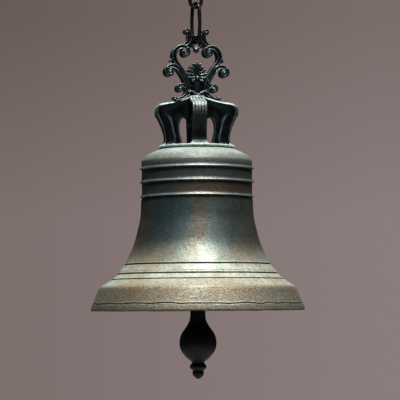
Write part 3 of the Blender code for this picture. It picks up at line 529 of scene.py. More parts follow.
def shell_bronze():
    """Dark waist with brown stains and a painted warm reflection, painted shadow under the ribs, chalky dome
    and flare, brown bow, painted shade in the lines.
    """
    mat, tree, shader = new_material("green_brown_bronze")
    where = object_place(tree)
    height = over_lip(tree, where)
    grain = use_group(tree, sand_grain, Scale=1.0)
    color = blend_color(tree, cloud(tree, 14.0, 0.5), BARE_BRONZE, BROWN_BRONZE)
    color = blend_color(tree, cloud(tree, 38.0, 0.56), color, GREY_GREEN)
    color = stained(tree, color, TEAL, TEAL_STAINS)
    # Brown stains, the first of them a painted warm reflection down the front of the waist.
    color = stained(tree, color, UMBER_STAIN_AND_SHEEN, BROWN_STAINS_AND_SHEEN)
    low_pale = ramp(tree, height, 0.096, 0.050)
    bow = ramp(tree, height, 0.037, 0.029)
    waist = minus(tree, ramp(tree, height, 0.076, 0.114), ramp(tree, height, 0.202, 0.208), True)
    color = blend_color(tree, times(tree, waist, 0.62), color, (0.55, 0.55, 0.55), "MULTIPLY")
    pale = minus(tree, times(tree, low_pale, 0.85), times(tree, bow, 0.72), True)
    chalk = blend_color(tree, cloud(tree, 55.0, 0.5, 0.2, 0.6), CHALK_GREEN, CHALK_CREAM)
    worn_off = times(tree, cloud(tree, 17.0, 0.53, 0.09, 1.4), 0.75)
    chalk = blend_color(tree, worn_off, chalk, (0.37, 0.31, 0.19))
    color = blend_color(tree, pale, color, chalk)
    color = blend_color(tree, times(tree, bow, 0.55), color, (0.27, 0.235, 0.165))
    color = stained(tree, color, RUST_BROWN, RUST_STAINS)
    dome = times(tree, ramp(tree, height, 0.204, 0.214), 0.7)
    color = blend_color(tree, dome, color, (0.150, 0.168, 0.120))
    runoff = plus(tree, 0.55, times(tree, cloud(tree, 48.0, 0.5, 0.2, 0.5), 0.45))
    crest = times(tree, ramp(tree, height, 0.2145, 0.2225), runoff)
    color = blend_color(tree, crest, color, (0.40, 0.47, 0.41))
    skirt = times(tree, ramp(tree, height, 0.012, 0.006), 0.45)
    color = blend_color(tree, skirt, color, (0.16, 0.125, 0.08))
    # Pale on the ribs' outer edges: polished wear and a painted highlight along their crests.
    on_rib = ramp(tree, from_axis(tree, where), WAIST_R + 0.6 * MM, WAIST_R + 1.2 * MM)
    edge = times(tree, on_rib, ramp(tree, height, 0.154, 0.157))
    color = blend_color(tree, times(tree, edge, 0.85), color, (0.58, 0.60, 0.53))
    # Painted shadow: near black is painted from just under each rib down to about 10 mm below it, where its
    # shadow falls.
    for rib in RIBS:
        below = minus(tree, rib * MM, height)
        rib_shadow = times(tree, ramp(tree, below, 0.0012, 0.0022), ramp(tree, below, 0.0105, 0.0030))
        color = blend_color(tree, times(tree, rib_shadow, 0.9), color, PAINTED_RIB_SHADOW)
    # Painted shade: each turned line is painted near black, standing in for the shade in its groove.
    for line, _, width in LINES:
        off = math_node(tree, "ABSOLUTE", minus(tree, height, (line - 0.1) * MM))
        line_shade = ramp(tree, off, 0.9 * width * MM, 0.45 * width * MM)
        color = blend_color(tree, line_shade, color, (0.012, 0.012, 0.009))
    color = blend_color(tree, ramp(tree, mark(tree, "crack"), 0.15, 0.8), color, (0.020, 0.016, 0.011))
    speck = times(tree, cloud(tree, 330.0, 0.55, 0.07, 1.9), 0.55)
    color = blend_color(tree, speck, color, (0.055, 0.055, 0.042))
    chalky = math_node(tree, "MAXIMUM", low_pale, dome)
    glint = times(tree, cloud(tree, 410.0, 0.60, 0.05, 1.9), plus(tree, 0.15, times(tree, chalky, 0.35)))
    color = blend_color(tree, glint, color, (0.72, 0.72, 0.62))
    inside = blend_color(tree, cloud(tree, 26.0, 0.52, 0.14, 0.6), DULL_BROWN, DULL_GREEN)
    color = blend_color(tree, mark(tree, "outside"), inside, color)
    color = blend_color(tree, times(tree, grain.outputs["Pits"], 0.7), color, (0.03, 0.03, 0.025))
    rough = ramp(tree, cloud(tree, 60.0, 0.5, 0.3, 0.7), 0.0, 1.0, 0.43, 0.54)
    rough = plus(tree, rough, times(tree, math_node(tree, "MAXIMUM", bow, dome), 0.12))
    paint(tree, shader, color, rough)
    covered = math_node(tree, "MAXIMUM", pale, dome)
    metal = minus(tree, 0.85, times(tree, covered, 0.92), True)
    tree.links.new(metal, shader.inputs["Metallic"])
    relief = times(tree, grain.outputs["Height"], plus(tree, 0.7, bow))
    bump(tree, shader, 0.6, 0.0006, relief)
    return mat


shell = make_shell()
shell.data.materials.append(shell_bronze())
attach(shell, "bell_body")
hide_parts("bell_shell")

# ------------------------------------------------------------------ Crown
# One bronze casting bolted to the bell's head: a round plate, four bowed arms with reeded backs and
# ribbed cheeks, and a central stem. Almost black, with pale green left on whatever faces up.
crown_low, crown_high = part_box("crown")
PLATE_UNDER = (crown_low.z - LIP_Z) / MM
CROWN_TOP = (crown_high.z - LIP_Z) / MM
CROWN_PLATE_R = 53.0
ARM_HALF_WIDTH = 10.6
REEDS = 5
REED_DEPTH = 1.6
STEM_R = 11.5
BOLT_CIRCLE_R = 38.0
BOLT_HOLE_R = 4.4
BOLT_HOLE_DEPTH = 14.0
ARM_BACK = ((54.0, 1.5), (50.0, 4.2), (48.0, 8.0), (47.4, 15.0), (49.6, 25.0), (53.6, 35.0), (57.6, 44.0),
            (59.0, 50.5), (58.2, 56.5), (54.6, 61.0), (48.5, 63.4), (38.0, 65.0), (27.0, 67.2),
            (17.0, 70.4), (9.0, 72.4), (0.0, 73.0))
ARM_ARCH = ((19.0, 1.5), (20.2, 6.0), (21.8, 13.0), (24.0, 22.0), (24.6, 30.0), (23.4, 37.0),
            (21.0, 41.8), (18.0, 43.2), (15.2, 41.8), (13.6, 37.5), (13.0, 31.0), (0.0, 31.0))


def path_distance(path, across, up):
    """Distance of each point to a path of (across, up, ...) points, and the path's values there."""
    path = np.asarray(path, float)
    best = np.full(across.shape, 1e9)
    extra = np.zeros(across.shape + (path.shape[1] - 2,))
    along = np.zeros(across.shape)
    for i, (a, b) in enumerate(zip(path, path[1:])):
        step = b[:2] - a[:2]
        t = ((across - a[0]) * step[0] + (up - a[1]) * step[1]) / max(step @ step, 1e-9)
        t = np.clip(t, 0.0, 1.0)
        gap = np.hypot(across - a[0] - t * step[0], up - a[1] - t * step[1])
        nearer = gap < best
        best = np.where(nearer, gap, best)
        along = np.where(nearer, (i + t) / (len(path) - 1), along)
        extra = np.where(nearer[..., None], a[2:] + t[..., None] * (b[2:] - a[2:]), extra)
    return best, along, extra


def inside_outline(outline, across, up):
    """True where a point lies inside a closed outline."""
    inside = np.zeros(across.shape, bool)
    for (x0, z0), (x1, z1) in zip(outline, np.roll(outline, -1, axis=0)):
        crosses = (z0 > up) != (z1 > up)
        with np.errstate(divide="ignore", invalid="ignore"):
            where = (x1 - x0) * (up - z0) / (z1 - z0) + x0
        inside ^= crosses & (across < where)
    return inside


def rounded_slab(outline_distance, thickness_distance, edge):
    """Solid of an outline and a thickness, its edges rounded to a radius; negative inside."""
    a = outline_distance + edge
    b = thickness_distance + edge
    return np.minimum(np.maximum(a, b), 0.0) + np.hypot(np.maximum(a, 0.0), np.maximum(b, 0.0)) - edge


def blend(a, b, fillet):
    """Joins two solids with a fillet."""
    h = np.clip(0.5 + 0.5 * (b - a) / fillet, 0.0, 1.0)
    return b + (a - b) * h - fillet * h * (1.0 - h)


def step_up(value, low, high):
    t = np.clip((value - low) / (high - low), 0.0, 1.0)
    return t * t * (3.0 - 2.0 * t)


def drawn_together(verts, edges, rounds, share):
    """Points moved a share of the way towards the mean of their neighbours, a number of times."""
    count = len(verts)
    degree = np.bincount(edges.ravel(), minlength=count)[:, None]
    for _ in range(rounds):
        total = np.stack([np.bincount(edges[:, 0], verts[edges[:, 1], k], count)
                          + np.bincount(edges[:, 1], verts[edges[:, 0], k], count) for k in range(3)], 1)
        verts = verts * (1.0 - share) + total / degree * share
    return verts


def skin(name, field, axes, smooth):
    """Closed surface where a field over a regular grid changes sign, as a piece in metres."""
    base = np.array([a[0] for a in axes])
    step = axes[0][1] - axes[0][0]
    inside = field < 0.0
    cells = tuple(n - 1 for n in field.shape)
    total = np.zeros(cells + (3,))
    count = np.zeros(cells)
    for axis in range(3):
        for du in (0, 1):
            for dv in (0, 1):
                shift = [du, dv]
                shift.insert(axis, 0)
                one = tuple(slice(s, s + n) for s, n in zip(shift, cells))
                shift[axis] = 1
                two = tuple(slice(s, s + n) for s, n in zip(shift, cells))
                cut = inside[one] != inside[two]
                share = field[one] / np.where(cut, field[one] - field[two], 1.0)
                for k in range(3):
                    total[..., k] += np.where(cut, share if k == axis else shift[k], 0.0)
                count += cut
    used = count > 0
    number = np.full(cells, -1)
    number[used] = np.arange(used.sum())
    verts = total[used] / count[used][:, None] + np.argwhere(used)
    quads = []
    for axis in range(3):
        one = [slice(1, n) for n in cells]
        two = list(one)
        one[axis] = slice(0, field.shape[axis] - 1)
        two[axis] = slice(1, field.shape[axis])
        first = inside[tuple(one)]
        cut = first != inside[tuple(two)]
        spots = np.argwhere(cut) + [0 if k == axis else 1 for k in range(3)]
        u = (axis + 1) % 3
        v = (axis + 2) % 3
        corners = []
        for du, dv in ((1, 1), (0, 1), (0, 0), (1, 0)):
            at = spots.copy()
            at[:, u] -= du
            at[:, v] -= dv
            corners.append(number[tuple(at.T)])
        quad = np.stack(corners, 1)
        out = first[cut]
        quads.append(np.where(out[:, None], quad, quad[:, ::-1]))
    quads = np.vstack(quads)
    edges = np.vstack([quads[:, (k, (k + 1) % 4)] for k in range(4)])
    verts = drawn_together(verts, edges, smooth, 0.5)
    verts = (verts * step + base) * MM
    verts[:, 2] += LIP_Z
    return new_piece(name, verts.tolist(), quads.tolist())


def mark_relief(piece, rounds, full):
    """Stores how far each point stands proud of its surroundings, and how far it faces up and out."""
    mesh = piece.data
    verts = np.zeros(len(mesh.vertices) * 3)
    normals = np.zeros(len(mesh.vertices) * 3)
    edges = np.zeros(len(mesh.edges) * 2, int)
    mesh.vertices.foreach_get("co", verts)
    mesh.vertices.foreach_get("normal", normals)
    mesh.edges.foreach_get("vertices", edges)
    verts = verts.reshape(-1, 3) / MM
    normals = normals.reshape(-1, 3)
    smooth = drawn_together(verts, edges.reshape(-1, 2), rounds, 0.6)
    proud = np.clip(((verts - smooth) * normals).sum(1) / full, -1.0, 1.0)
    outward = (verts[:, :2] * normals[:, :2]).sum(1) / np.hypot(verts[:, 0], verts[:, 1])
    for name, values in (("proud", proud), ("upward", normals[:, 2]), ("outward", outward)):
        stored = mesh.attributes.new(name, "FLOAT", "POINT")
        stored.data.foreach_set("value", values.astype(np.float32))


def cast_wobble(piece, amount):
    """Sand-cast unevenness along each point's normal, in millimetres."""
    mesh = piece.data
    outward = [vert.normal.copy() for vert in mesh.vertices]
    for vert, normal in zip(mesh.vertices, outward):
        spot = vert.co / MM
        rise = noise.noise(spot * 0.16) + 0.5 * noise.noise(spot * 0.45)
        vert.co = vert.co + normal * (amount * rise * MM)
    mesh.update()


def make_crown():
    """One arm's profile and cheeks, turned to four, joined to plate, stem and boss, with its bores cut."""
    step = 0.8
    flat = np.arange(-62.4, 62.5, step)
    up = np.arange(PLATE_UNDER - 2.0, CROWN_TOP + 3.0, step)
    r, z = np.meshgrid(flat, up, indexing="ij")
    back_line = smooth_path(ARM_BACK, 5) + [0.0, PLATE_UNDER]
    arch = smooth_path(ARM_ARCH, 5) + [0.0, PLATE_UNDER]
    outline = np.vstack([back_line, arch[::-1]])
    to_back = path_distance(back_line, r, z)[0]
    to_arch = path_distance(arch, r, z)[0]
    to_foot = path_distance([arch[0], back_line[0]], r, z)[0]
    inside = inside_outline(outline, r, z)
    side = np.where(inside, -1.0, 1.0) * np.minimum(np.minimum(to_back, to_arch), to_foot)
    across = to_back / (to_back + to_arch)
    height = z - PLATE_UNDER
    ridge_at = np.interp(height, (5, 15, 25, 35, 45, 55, 62), (0.55, 0.62, 0.60, 0.56, 0.44, 0.27, 0.18))
    ridge_wide = np.interp(height, (0, 10, 30, 60), (0.24, 0.18, 0.14, 0.15))
    ridge = np.exp(-((across - ridge_at) / ridge_wide) ** 2)
    fade = step_up(r, 12.0, 22.0)
    valley = step_up(across, 0.10, 0.22) * (1.0 - 0.9 * ridge)
    deep = step_up(across, ridge_at + 0.05, ridge_at + 0.22) * 1.8
    cheek = ARM_HALF_WIDTH - fade * (2.3 * valley + deep)
    cheek += 1.4 * np.exp(-(height - 3.0) / 4.0) * (height > 0)
    x, y, z3 = np.meshgrid(flat, flat, up, indexing="ij")
    turn = (y / ARM_HALF_WIDTH + 1.0) / 2.0
    reed = REED_DEPTH * (1.0 - np.abs(np.sin(math.pi * REEDS * np.clip(turn, 0.0, 1.0))) ** 0.8)
    near_back = 1.0 - step_up(to_back, 1.5, 4.0)
    reeded = np.clip(step_up(height, 44.0, 47.0) + 1.0 - step_up(height, 4.5, 6.0), 0.0, 1.0)
    cut_back = 1.2 * (1.0 - step_up(height, 42.5, 45.0)) * step_up(height, 4.2, 6.5)
    depth = (reed * (near_back * reeded)[:, None, :]) * step_up(x, 6.0, 16.0)
    depth += (cut_back * near_back)[:, None, :]
    arm = rounded_slab(side[:, None, :] + depth, np.abs(y) - cheek[:, None, :], 1.8)
    arm = np.where(x < -1.0, 40.0, arm)
    arms = np.minimum(np.minimum(arm, arm[::-1]), np.minimum(arm, arm[::-1]).transpose(1, 0, 2))
    rho = np.hypot(x, y)
    high = z3 - PLATE_UNDER
    plate = rounded_slab(rho - CROWN_PLATE_R, np.abs(high - 1.6) - 1.6, 1.2)
    stem = rounded_slab(rho - STEM_R, np.abs(high - 36.0) - 36.0, 1.0)
    boss = rounded_slab(rho - 13.0, np.abs(high - 70.5) - 3.5, 1.4)
    field = blend(blend(arms, stem, 2.0), plate, 4.0)
    field = blend(field, boss, 1.5)
    bores = rho - BORE_R
    for right, back in ((1, 0), (-1, 0), (0, 1), (0, -1)):
        hole = np.hypot(x - right * BOLT_CIRCLE_R, y - back * BOLT_CIRCLE_R) - BOLT_HOLE_R
        bores = np.minimum(bores, np.maximum(hole, high - BOLT_HOLE_DEPTH))
    return skin("crown_casting", np.maximum(np.maximum(field, -high), -bores), (flat, flat, up), 2)


def make_dark_bronze_coat():
    """Black bronze: colour, roughness, metal and bump height from a piece's relief marks."""
    tree, given, out = shader_group("dark_bronze_coat", [("Verdigris", "f", 1.0), ("Bright", "f", 1.0),
                                                        ("Edges", "f", 1.0)],
                                    [("Color", "c"), ("Roughness", "f"), ("Metal", "f"), ("Height", "f")])
    proud = mark(tree, "proud")
    mottled = cloud(tree, 90.0, 0.5, 0.2, 1.0)
    fine = cloud(tree, 330.0, 0.5, 0.25, 1.0)
    raised = ramp(tree, proud, 0.12, 0.75)
    hollow_shade = ramp(tree, proud, 0.0, -0.4)
    top = ramp(tree, mark(tree, "upward"), 0.12, 0.75)
    green = times(tree, top, plus(tree, 0.55, times(tree, mottled, 0.45)))
    green = times(tree, green, given.outputs["Verdigris"])
    # Pale on raised edges, scaled by Bright: edge wear and a painted highlight.
    rim_wear_and_highlight = times(tree, raised, plus(tree, 0.35, times(tree, fine, 0.65)))
    rim_wear_and_highlight = times(tree, rim_wear_and_highlight, given.outputs["Bright"])
    turned = ramp(tree, math_node(tree, "ABSOLUTE", mark(tree, "outward")), 0.15, 0.45)
    lost = times(tree, turned, minus(tree, 1.0, given.outputs["Edges"]))
    rim_wear_and_highlight = times(tree, rim_wear_and_highlight, minus(tree, 1.0, lost))
    color = blend_color(tree, mottled, (0.006, 0.009, 0.010), (0.014, 0.023, 0.024))
    color = blend_color(tree, times(tree, rim_wear_and_highlight, 0.8), color, (0.17, 0.235, 0.24))
    color = blend_color(tree, green, color, (0.43, 0.49, 0.455))
    # Painted shade: hollows are painted near black.
    color = blend_color(tree, times(tree, hollow_shade, 0.9), color, (0.003, 0.003, 0.003))
    rough = plus(tree, 0.34, times(tree, green, 0.24))
    rough = plus(tree, rough, times(tree, fine, 0.08))
    metal = minus(tree, 0.80, times(tree, green, 0.65))
    grain = use_group(tree, sand_grain, Scale=1.3)
    for name, value in (("Color", color), ("Roughness", rough), ("Metal", metal),
                        ("Height", grain.outputs["Height"])):
        tree.links.new(value, out.inputs[name])
    return tree


dark_bronze_coat = make_dark_bronze_coat()


def dark_bronze(name, verdigris, bright, edges, washed, shoulder):
    """Black bronze, pale below one height above the lip in mm, with a painted pale band for the light on
    outward faces above another.
    """
    mat, tree, shader = new_material(name)
    coat = use_group(tree, dark_bronze_coat, Verdigris=verdigris, Bright=bright, Edges=edges)
    where = object_place(tree)
    height = over_lip(tree, where)
    foot = ramp(tree, height, washed * MM, (washed - 1.5) * MM)
    # Painted light: outward faces above the shoulder get a pale band standing in for the light on the arms'
    # tops, kept out of hollows as painted shade.
    outer = times(tree, ramp(tree, mark(tree, "outward"), 0.45, 0.85),
                  ramp(tree, height, shoulder * MM, (shoulder + 8.0) * MM))
    outer = times(tree, outer, ramp(tree, from_axis(tree, where), 0.042, 0.050))
    hollow_shade = ramp(tree, mark(tree, "proud"), 0.05, -0.3)
    outer = times(tree, outer, minus(tree, 0.36, times(tree, hollow_shade, 0.32)))
    patchy = plus(tree, 0.7, times(tree, cloud(tree, 120.0, 0.48, 0.15, 1.0), 0.3))
    pale = times(tree, math_node(tree, "MAXIMUM", foot, outer), patchy)
    color = blend_color(tree, pale, coat.outputs["Color"], (0.50, 0.58, 0.53))
    paint(tree, shader, color, coat.outputs["Roughness"])
    metal = minus(tree, coat.outputs["Metal"], times(tree, pale, 0.8), True)
    tree.links.new(metal, shader.inputs["Metallic"])
    bump(tree, shader, 0.15, 0.0004, coat.outputs["Height"])
    return mat


crown = make_crown()
cast_wobble(crown, 0.12)
mark_relief(crown, 26, 0.7)
crown.data.materials.append(dark_bronze("black_bronze_crown", verdigris=1.0, bright=1.3, edges=0.15,
                                        washed=PLATE_UNDER + 4.8, shoulder=PLATE_UNDER + 43.0))
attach(crown, "bell_body")
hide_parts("crown")

# ------------------------------------------------------------------ Scroll finial
# A two-faced bronze casting screwed on the crown's shank: channelled scrolls that end in volutes, a
# small palmette, a drop, and the eye that the chain holds. It stands a few degrees past the arms.
FOOT_Z = CROWN_TOP + 0.3
NO_SHOULDER = 900.0
FINIAL_TURN = math.radians(10.0)
SCROLL_HALF = 8.0
NECK_HALF = 4.5
CHANNEL = 2.0
EYE_RISE = 74.5
EYE_RING_R = 6.3
EYE_TUBE_R = 2.5
MAIN_SCROLL = ((13.5, 66.0, 2.4), (20.0, 68.7, 3.2), (27.0, 66.8, 3.5), (32.0, 60.5, 3.6), (33.0, 53.0, 3.5),
               (30.0, 46.0, 3.3), (25.0, 39.5, 3.2), (19.5, 31.5, 3.1), (15.0, 22.0, 2.9),
               (12.8, 12.0, 2.7), (14.0, 4.2, 2.6), (18.5, -1.2, 2.4), (25.0, -4.8, 2.1), (31.0, -5.9, 1.8))
SIDE_SCROLL = ((13.3, 9.0, 2.6), (15.8, 18.0, 3.2), (20.0, 27.0, 3.4), (25.5, 35.5, 3.4), (31.5, 40.3, 3.2),
               (38.0, 41.0, 3.0), (43.2, 38.0, 2.6))
LOW_SCROLL = ((16.5, 0.5, 2.4), (15.0, 5.0, 2.6), (16.2, 10.5, 2.5), (19.8, 14.2, 2.4), (24.5, 14.6, 2.2))
EAR_SCROLL = ((20.0, 70.6, 2.6), (14.5, 73.8, 3.2), (10.9, 78.5, 3.8), (9.9, 84.5, 3.8), (10.6, 90.0, 2.4))
BUD = ((32.6, 51.5, 1.6), (35.2, 51.0, 1.7), (37.6, 48.8, 1.6))
# Volutes: middle, first and last radius, first angle, turn, half thickness.
VOLUTES = ((17.4, 60.8, 6.4, 1.9, 127.0, 420.0, SCROLL_HALF),
           (39.3, 32.8, 6.5, 2.0, 52.0, -420.0, SCROLL_HALF),
           (24.6, 9.4, 5.2, 1.6, 90.0, -400.0, 7.4), (32.0, -3.5, 2.6, 0.9, -95.0, 300.0, 7.2),
           (14.4, 90.0, 4.3, 1.4, 178.0, -390.0, 4.9))
LEAF_LOBES = (((1.5, 25.5, 1.1), (4.5, 21.6, 1.4), (7.3, 20.4, 1.8)),
              ((2.2, 27.0, 1.2), (7.0, 24.8, 1.5), (11.2, 25.0, 1.9)),
              ((2.4, 29.0, 1.2), (8.0, 29.4, 1.5), (12.6, 30.2, 1.9)),
              ((2.2, 31.0, 1.1), (7.4, 34.0, 1.4), (11.0, 35.7, 1.8)),
              ((1.8, 33.0, 1.0), (5.4, 38.0, 1.3), (8.2, 40.0, 1.6)),
              ((1.2, 36.0, 0.9), (3.3, 41.6, 1.1), (4.6, 44.0, 1.4)))


def spiral(middle, first, last, start, turn, half):
    """A volute's centre line as (across, up, half width) points, drawing in towards its middle."""
    points = []
    for k in range(41):
        t = k / 40
        radius = first + (last - first) * t ** 0.85
        angle = math.radians(start + turn * t)
        points.append((middle[0] + radius * math.cos(angle), middle[1] + radius * math.sin(angle),
                       half * (1.0 - 0.55 * t)))
    return points


def make_finial():
    """The right half's scrolls, shield, palmette and eye, mirrored left and back by folded distances."""
    step = 0.55
    flat = np.arange(-49.5, 49.6, step)
    deep = np.arange(-11.55, 11.6, step)
    up = np.arange(-10.0, 97.5, step)
    face = np.meshgrid(flat, up, indexing="ij")
    ax = np.abs(face[0])
    az = face[1]
    away = np.abs(deep)[None, :, None]
    field = np.full((len(flat), len(deep), len(up)), 40.0)

    def add(shape, fillet=0.7):
        field[:] = blend(field, shape, fillet)

    def bar(path, half, channel, edge=1.5, steps=6):
        """A scroll along an (across, up, half width) path, its faces hollowed by a channel's depth."""
        gap, along, width = path_distance(smooth_path(path, steps), ax, az)
        width = width[..., 0]
        mid = 1.0 - 0.7 * np.exp(-((along - 0.47) / 0.10) ** 2) * (half == SCROLL_HALF)
        dip = channel * mid * (1.0 - step_up(gap / width, 0.30, 0.72))
        return rounded_slab((gap - width)[:, None, :], away - (half - dip)[:, None, :], edge)

    def mirrored(edge):
        """Distance to an outline given by its right half, negative inside."""
        whole = np.vstack([edge, edge[-2:0:-1] * [-1.0, 1.0]])
        inside = np.where(inside_outline(whole, *face), -1.0, 1.0)
        return (inside * path_distance(edge, ax, az)[0])[:, None, :]

    def ball(across, out, height, radius):
        spread = np.hypot(ax - across, az - height)[:, None, :]
        return np.sqrt(spread ** 2 + (away - out) ** 2) - radius

    for path, half in ((MAIN_SCROLL, SCROLL_HALF), (SIDE_SCROLL, SCROLL_HALF), (LOW_SCROLL, 7.4)):
        add(bar(path, half, CHANNEL))
    add(bar(EAR_SCROLL, NECK_HALF, 1.2))
    add(bar(BUD, 6.6, 0.8, 1.2))
    for x, z, first, last, start, turn, half in VOLUTES:
        coil = spiral((x, z), first, last, start, turn, min(2.3, first * 0.38))
        add(bar(coil, half + 0.3, 0.5, 0.9, 1), 0.3)
        disc = np.hypot(ax - x, az - z) - first * 0.95
        add(rounded_slab(disc[:, None, :], away - (half - min(2.6, first * 0.4)), 1.4), 0.3)
        add(ball(x, half - last * 0.35, z, last * 0.95), 0.2)
    web = inside_outline(np.array([(-17.0, 69.5), (-9.0, 67.6), (-4.4, 68.6), (4.4, 68.6), (9.0, 67.6),
                                   (17.0, 69.5), (12.5, 76.5), (9.5, 87.5), (4.0, 86.0), (-4.0, 86.0),
                                   (-9.5, 87.5), (-12.5, 76.5)]), *face)
    hole = np.hypot(ax, az - EYE_RISE)
    web = np.where(web & (hole > EYE_RING_R), -1.5, 1.5)
    add(rounded_slab(web[:, None, :], away - 3.4, 1.0), 0.8)
    tube = np.sqrt((hole - EYE_RING_R)[:, None, :] ** 2 + away ** 2) - EYE_TUBE_R
    add(tube, 0.5)
    add(ball(0.0, 0.0, 64.8, 4.3))
    keel = smooth_path([(0.0, 0.6), (3.4, 3.4), (7.0, 8.2), (9.4, 13.0), (10.8, 20.0), (8.4, 27.0),
                        (0.0, 29.0)], 6)
    add(rounded_slab(mirrored(keel), away - 4.8, 2.0))
    rho = np.hypot(flat[:, None, None], deep[None, :, None])
    high = up[None, None, :]
    taper = np.interp(up, (0.0, 12.0, 24.0), (8.9, 8.5, 7.3))
    add(rounded_slab(rho - taper, np.abs(high - 12.0) - 12.0, 1.2), 0.6)
    swag = ((13.4, 4.2, 1.1), (11.0, 5.6, 1.3), (8.2, 5.3, 1.4), (5.0, 3.4, 1.4), (2.4, 1.3, 1.3),
            (0.0, 0.9, 1.2))
    add(bar(swag, 10.2, 0.0, 1.1), 0.3)
    leaf = smooth_path([(0.0, 17.5), (6.0, 18.8), (10.6, 23.5), (12.0, 29.5), (9.6, 36.5), (5.2, 42.6),
                        (0.0, 46.4)], 6)
    add(rounded_slab(mirrored(leaf), away - 6.2, 1.8))
    for lobe in LEAF_LOBES:
        gap, along, width = path_distance(smooth_path(lobe, 6), ax, az)
        rise = 6.6 + 2.0 * along ** 1.5
        add(rounded_slab((gap - width[..., 0])[:, None, :], away - rise[:, None, :], 1.0), 0.3)
    spine = smooth_path([(0.0, 27.0, 1.4), (0.0, 33.0, 3.2), (0.0, 39.0, 4.0), (0.0, 44.0, 2.6),
                         (0.0, 46.6, 1.0)], 6)
    gap, _, width = path_distance(spine, ax, az)
    flutes = 0.8 * np.abs(np.cos(gap * 1.55)) + 0.5 * np.exp(-(gap / 0.5) ** 2)
    add(rounded_slab((gap - width[..., 0])[:, None, :], away - (7.6 + flutes)[:, None, :], 1.2), 0.3)
    add(ball(0.0, 7.2, 24.8, 3.1), 0.2)
    add(ball(0.0, 6.4, 46.8, 1.7), 0.2)
    field = np.maximum(field, -np.maximum(rho - BORE_R, high - 20.0))
    finial = skin("scroll_finial_casting", np.maximum(field, -high - 8.2), (flat, deep, up + FOOT_Z), 1)
    finial.data.transform(Matrix.Rotation(FINIAL_TURN, 4, "Z"))
    return finial


finial = make_finial()
cast_wobble(finial, 0.06)
mark_relief(finial, 10, 0.35)
finial.data.materials.append(dark_bronze("black_bronze_finial", verdigris=0.6, bright=0.75, edges=1.0,
                                         washed=PLATE_UNDER, shoulder=NO_SHOULDER))
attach(finial, "bell_body")
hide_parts("scroll_finial")

# ------------------------------------------------------------------ Crown's pad and fastenings
# A pressed leather pad, green with run-off, closes the joint under the crown. Four zinc-plated bolts
# with washers hold the crown from inside the head; a large washer and nut clamp the fork's shank.
# All are the frame's own solids, finished here.
def repaint(material, *names):
    for name in names:
        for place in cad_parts[name].material_slots:
            place.material = material


def pressed_leather():
    mat, tree, shader = new_material("pressed_leather")
    where = object_place(tree)
    cells = put(tree, "ShaderNodeTexVoronoi", {"feature": "DISTANCE_TO_EDGE"}, Vector=where, Scale=900.0)
    crease = ramp(tree, cells.outputs["Distance"], 0.0, 0.12)
    color = blend_color(tree, cloud(tree, 80.0, 0.5, 0.2, 1.0), (0.17, 0.19, 0.155), (0.085, 0.085, 0.068))
    color = blend_color(tree, minus(tree, 1.0, crease), color, (0.030, 0.024, 0.018))
    paint(tree, shader, color, ramp(tree, crease, 0.0, 1.0, 0.85, 0.62))
    bump(tree, shader, 0.4, 0.0002, crease)
    return mat


def dulled_zinc():
    mat, tree, shader = new_material("dulled_zinc_plate")
    where = object_place(tree)
    spangle = put(tree, "ShaderNodeTexVoronoi", Vector=where, Scale=420.0).outputs["Color"]
    grey = put(tree, "ShaderNodeSeparateColor", Color=spangle).outputs[0]
    color = blend_color(tree, grey, (0.36, 0.36, 0.35), (0.48, 0.48, 0.46))
    bright = times(tree, cloud(tree, 160.0, 0.58, 0.08, 1.0), 0.8)
    color = blend_color(tree, bright, color, (0.62, 0.62, 0.58))
    rust = times(tree, cloud(tree, 210.0, 0.64, 0.05, 1.0), 0.85)
    color = blend_color(tree, rust, color, (0.17, 0.075, 0.028))
    rough = plus(tree, ramp(tree, grey, 0.0, 1.0, 0.38, 0.48), times(tree, rust, 0.35))
    paint(tree, shader, color, rough)
    tree.links.new(minus(tree, 0.95, times(tree, rust, 0.8)), shader.inputs["Metallic"])
    grain = use_group(tree, sand_grain, Scale=2.5)
    bump(tree, shader, 0.08, 0.0002, grain.outputs["Height"])
    return mat


repaint(pressed_leather(), "crown_gasket")
zinc_plate = dulled_zinc()
repaint(zinc_plate, "shank_washer", "shank_nut")
for number in range(1, 5):
    repaint(zinc_plate, f"crown_bolt_{number}", f"crown_bolt_washer_{number}")

# ------------------------------------------------------------------ Clapper's fork and pin
# A forged and blackened iron fork hangs the clapper; its long shank draws finial, crown and head
# together. A plated pin with its nut runs in a brass bush, between two brass side washers.
def make_iron_skin():
    """Blackened iron: colour, roughness and height, with hammer marks and rust of a given amount."""
    tree, given, out = shader_group("blackened_iron_skin", [("Rust", "f", 0.4), ("Marks", "f", 1.0)],
                                    [("Color", "c"), ("Roughness", "f"), ("Height", "f")])
    where = object_place(tree)
    dents = put(tree, "ShaderNodeTexVoronoi", {"feature": "SMOOTH_F1"}, Vector=where, Scale=110.0,
                Smoothness=0.6).outputs["Distance"]
    grain = use_group(tree, sand_grain, Scale=1.6)
    rust = times(tree, cloud(tree, 130.0, 0.60, 0.06, 0.8), given.outputs["Rust"])
    scale = cloud(tree, 260.0, 0.5, 0.2, 1.0)
    color = blend_color(tree, scale, (0.0035, 0.0036, 0.0042), (0.008, 0.008, 0.0085))
    color = blend_color(tree, rust, color, (0.040, 0.019, 0.009))
    rough = plus(tree, ramp(tree, scale, 0.0, 1.0, 0.42, 0.56), times(tree, rust, 0.3))
    height = times(tree, times(tree, dents, 1.6), given.outputs["Marks"])
    height = plus(tree, height, times(tree, grain.outputs["Height"], 0.35))
    for name, value in (("Color", color), ("Roughness", rough), ("Height", height)):
        tree.links.new(value, out.inputs[name])
    return tree


iron_skin = make_iron_skin()


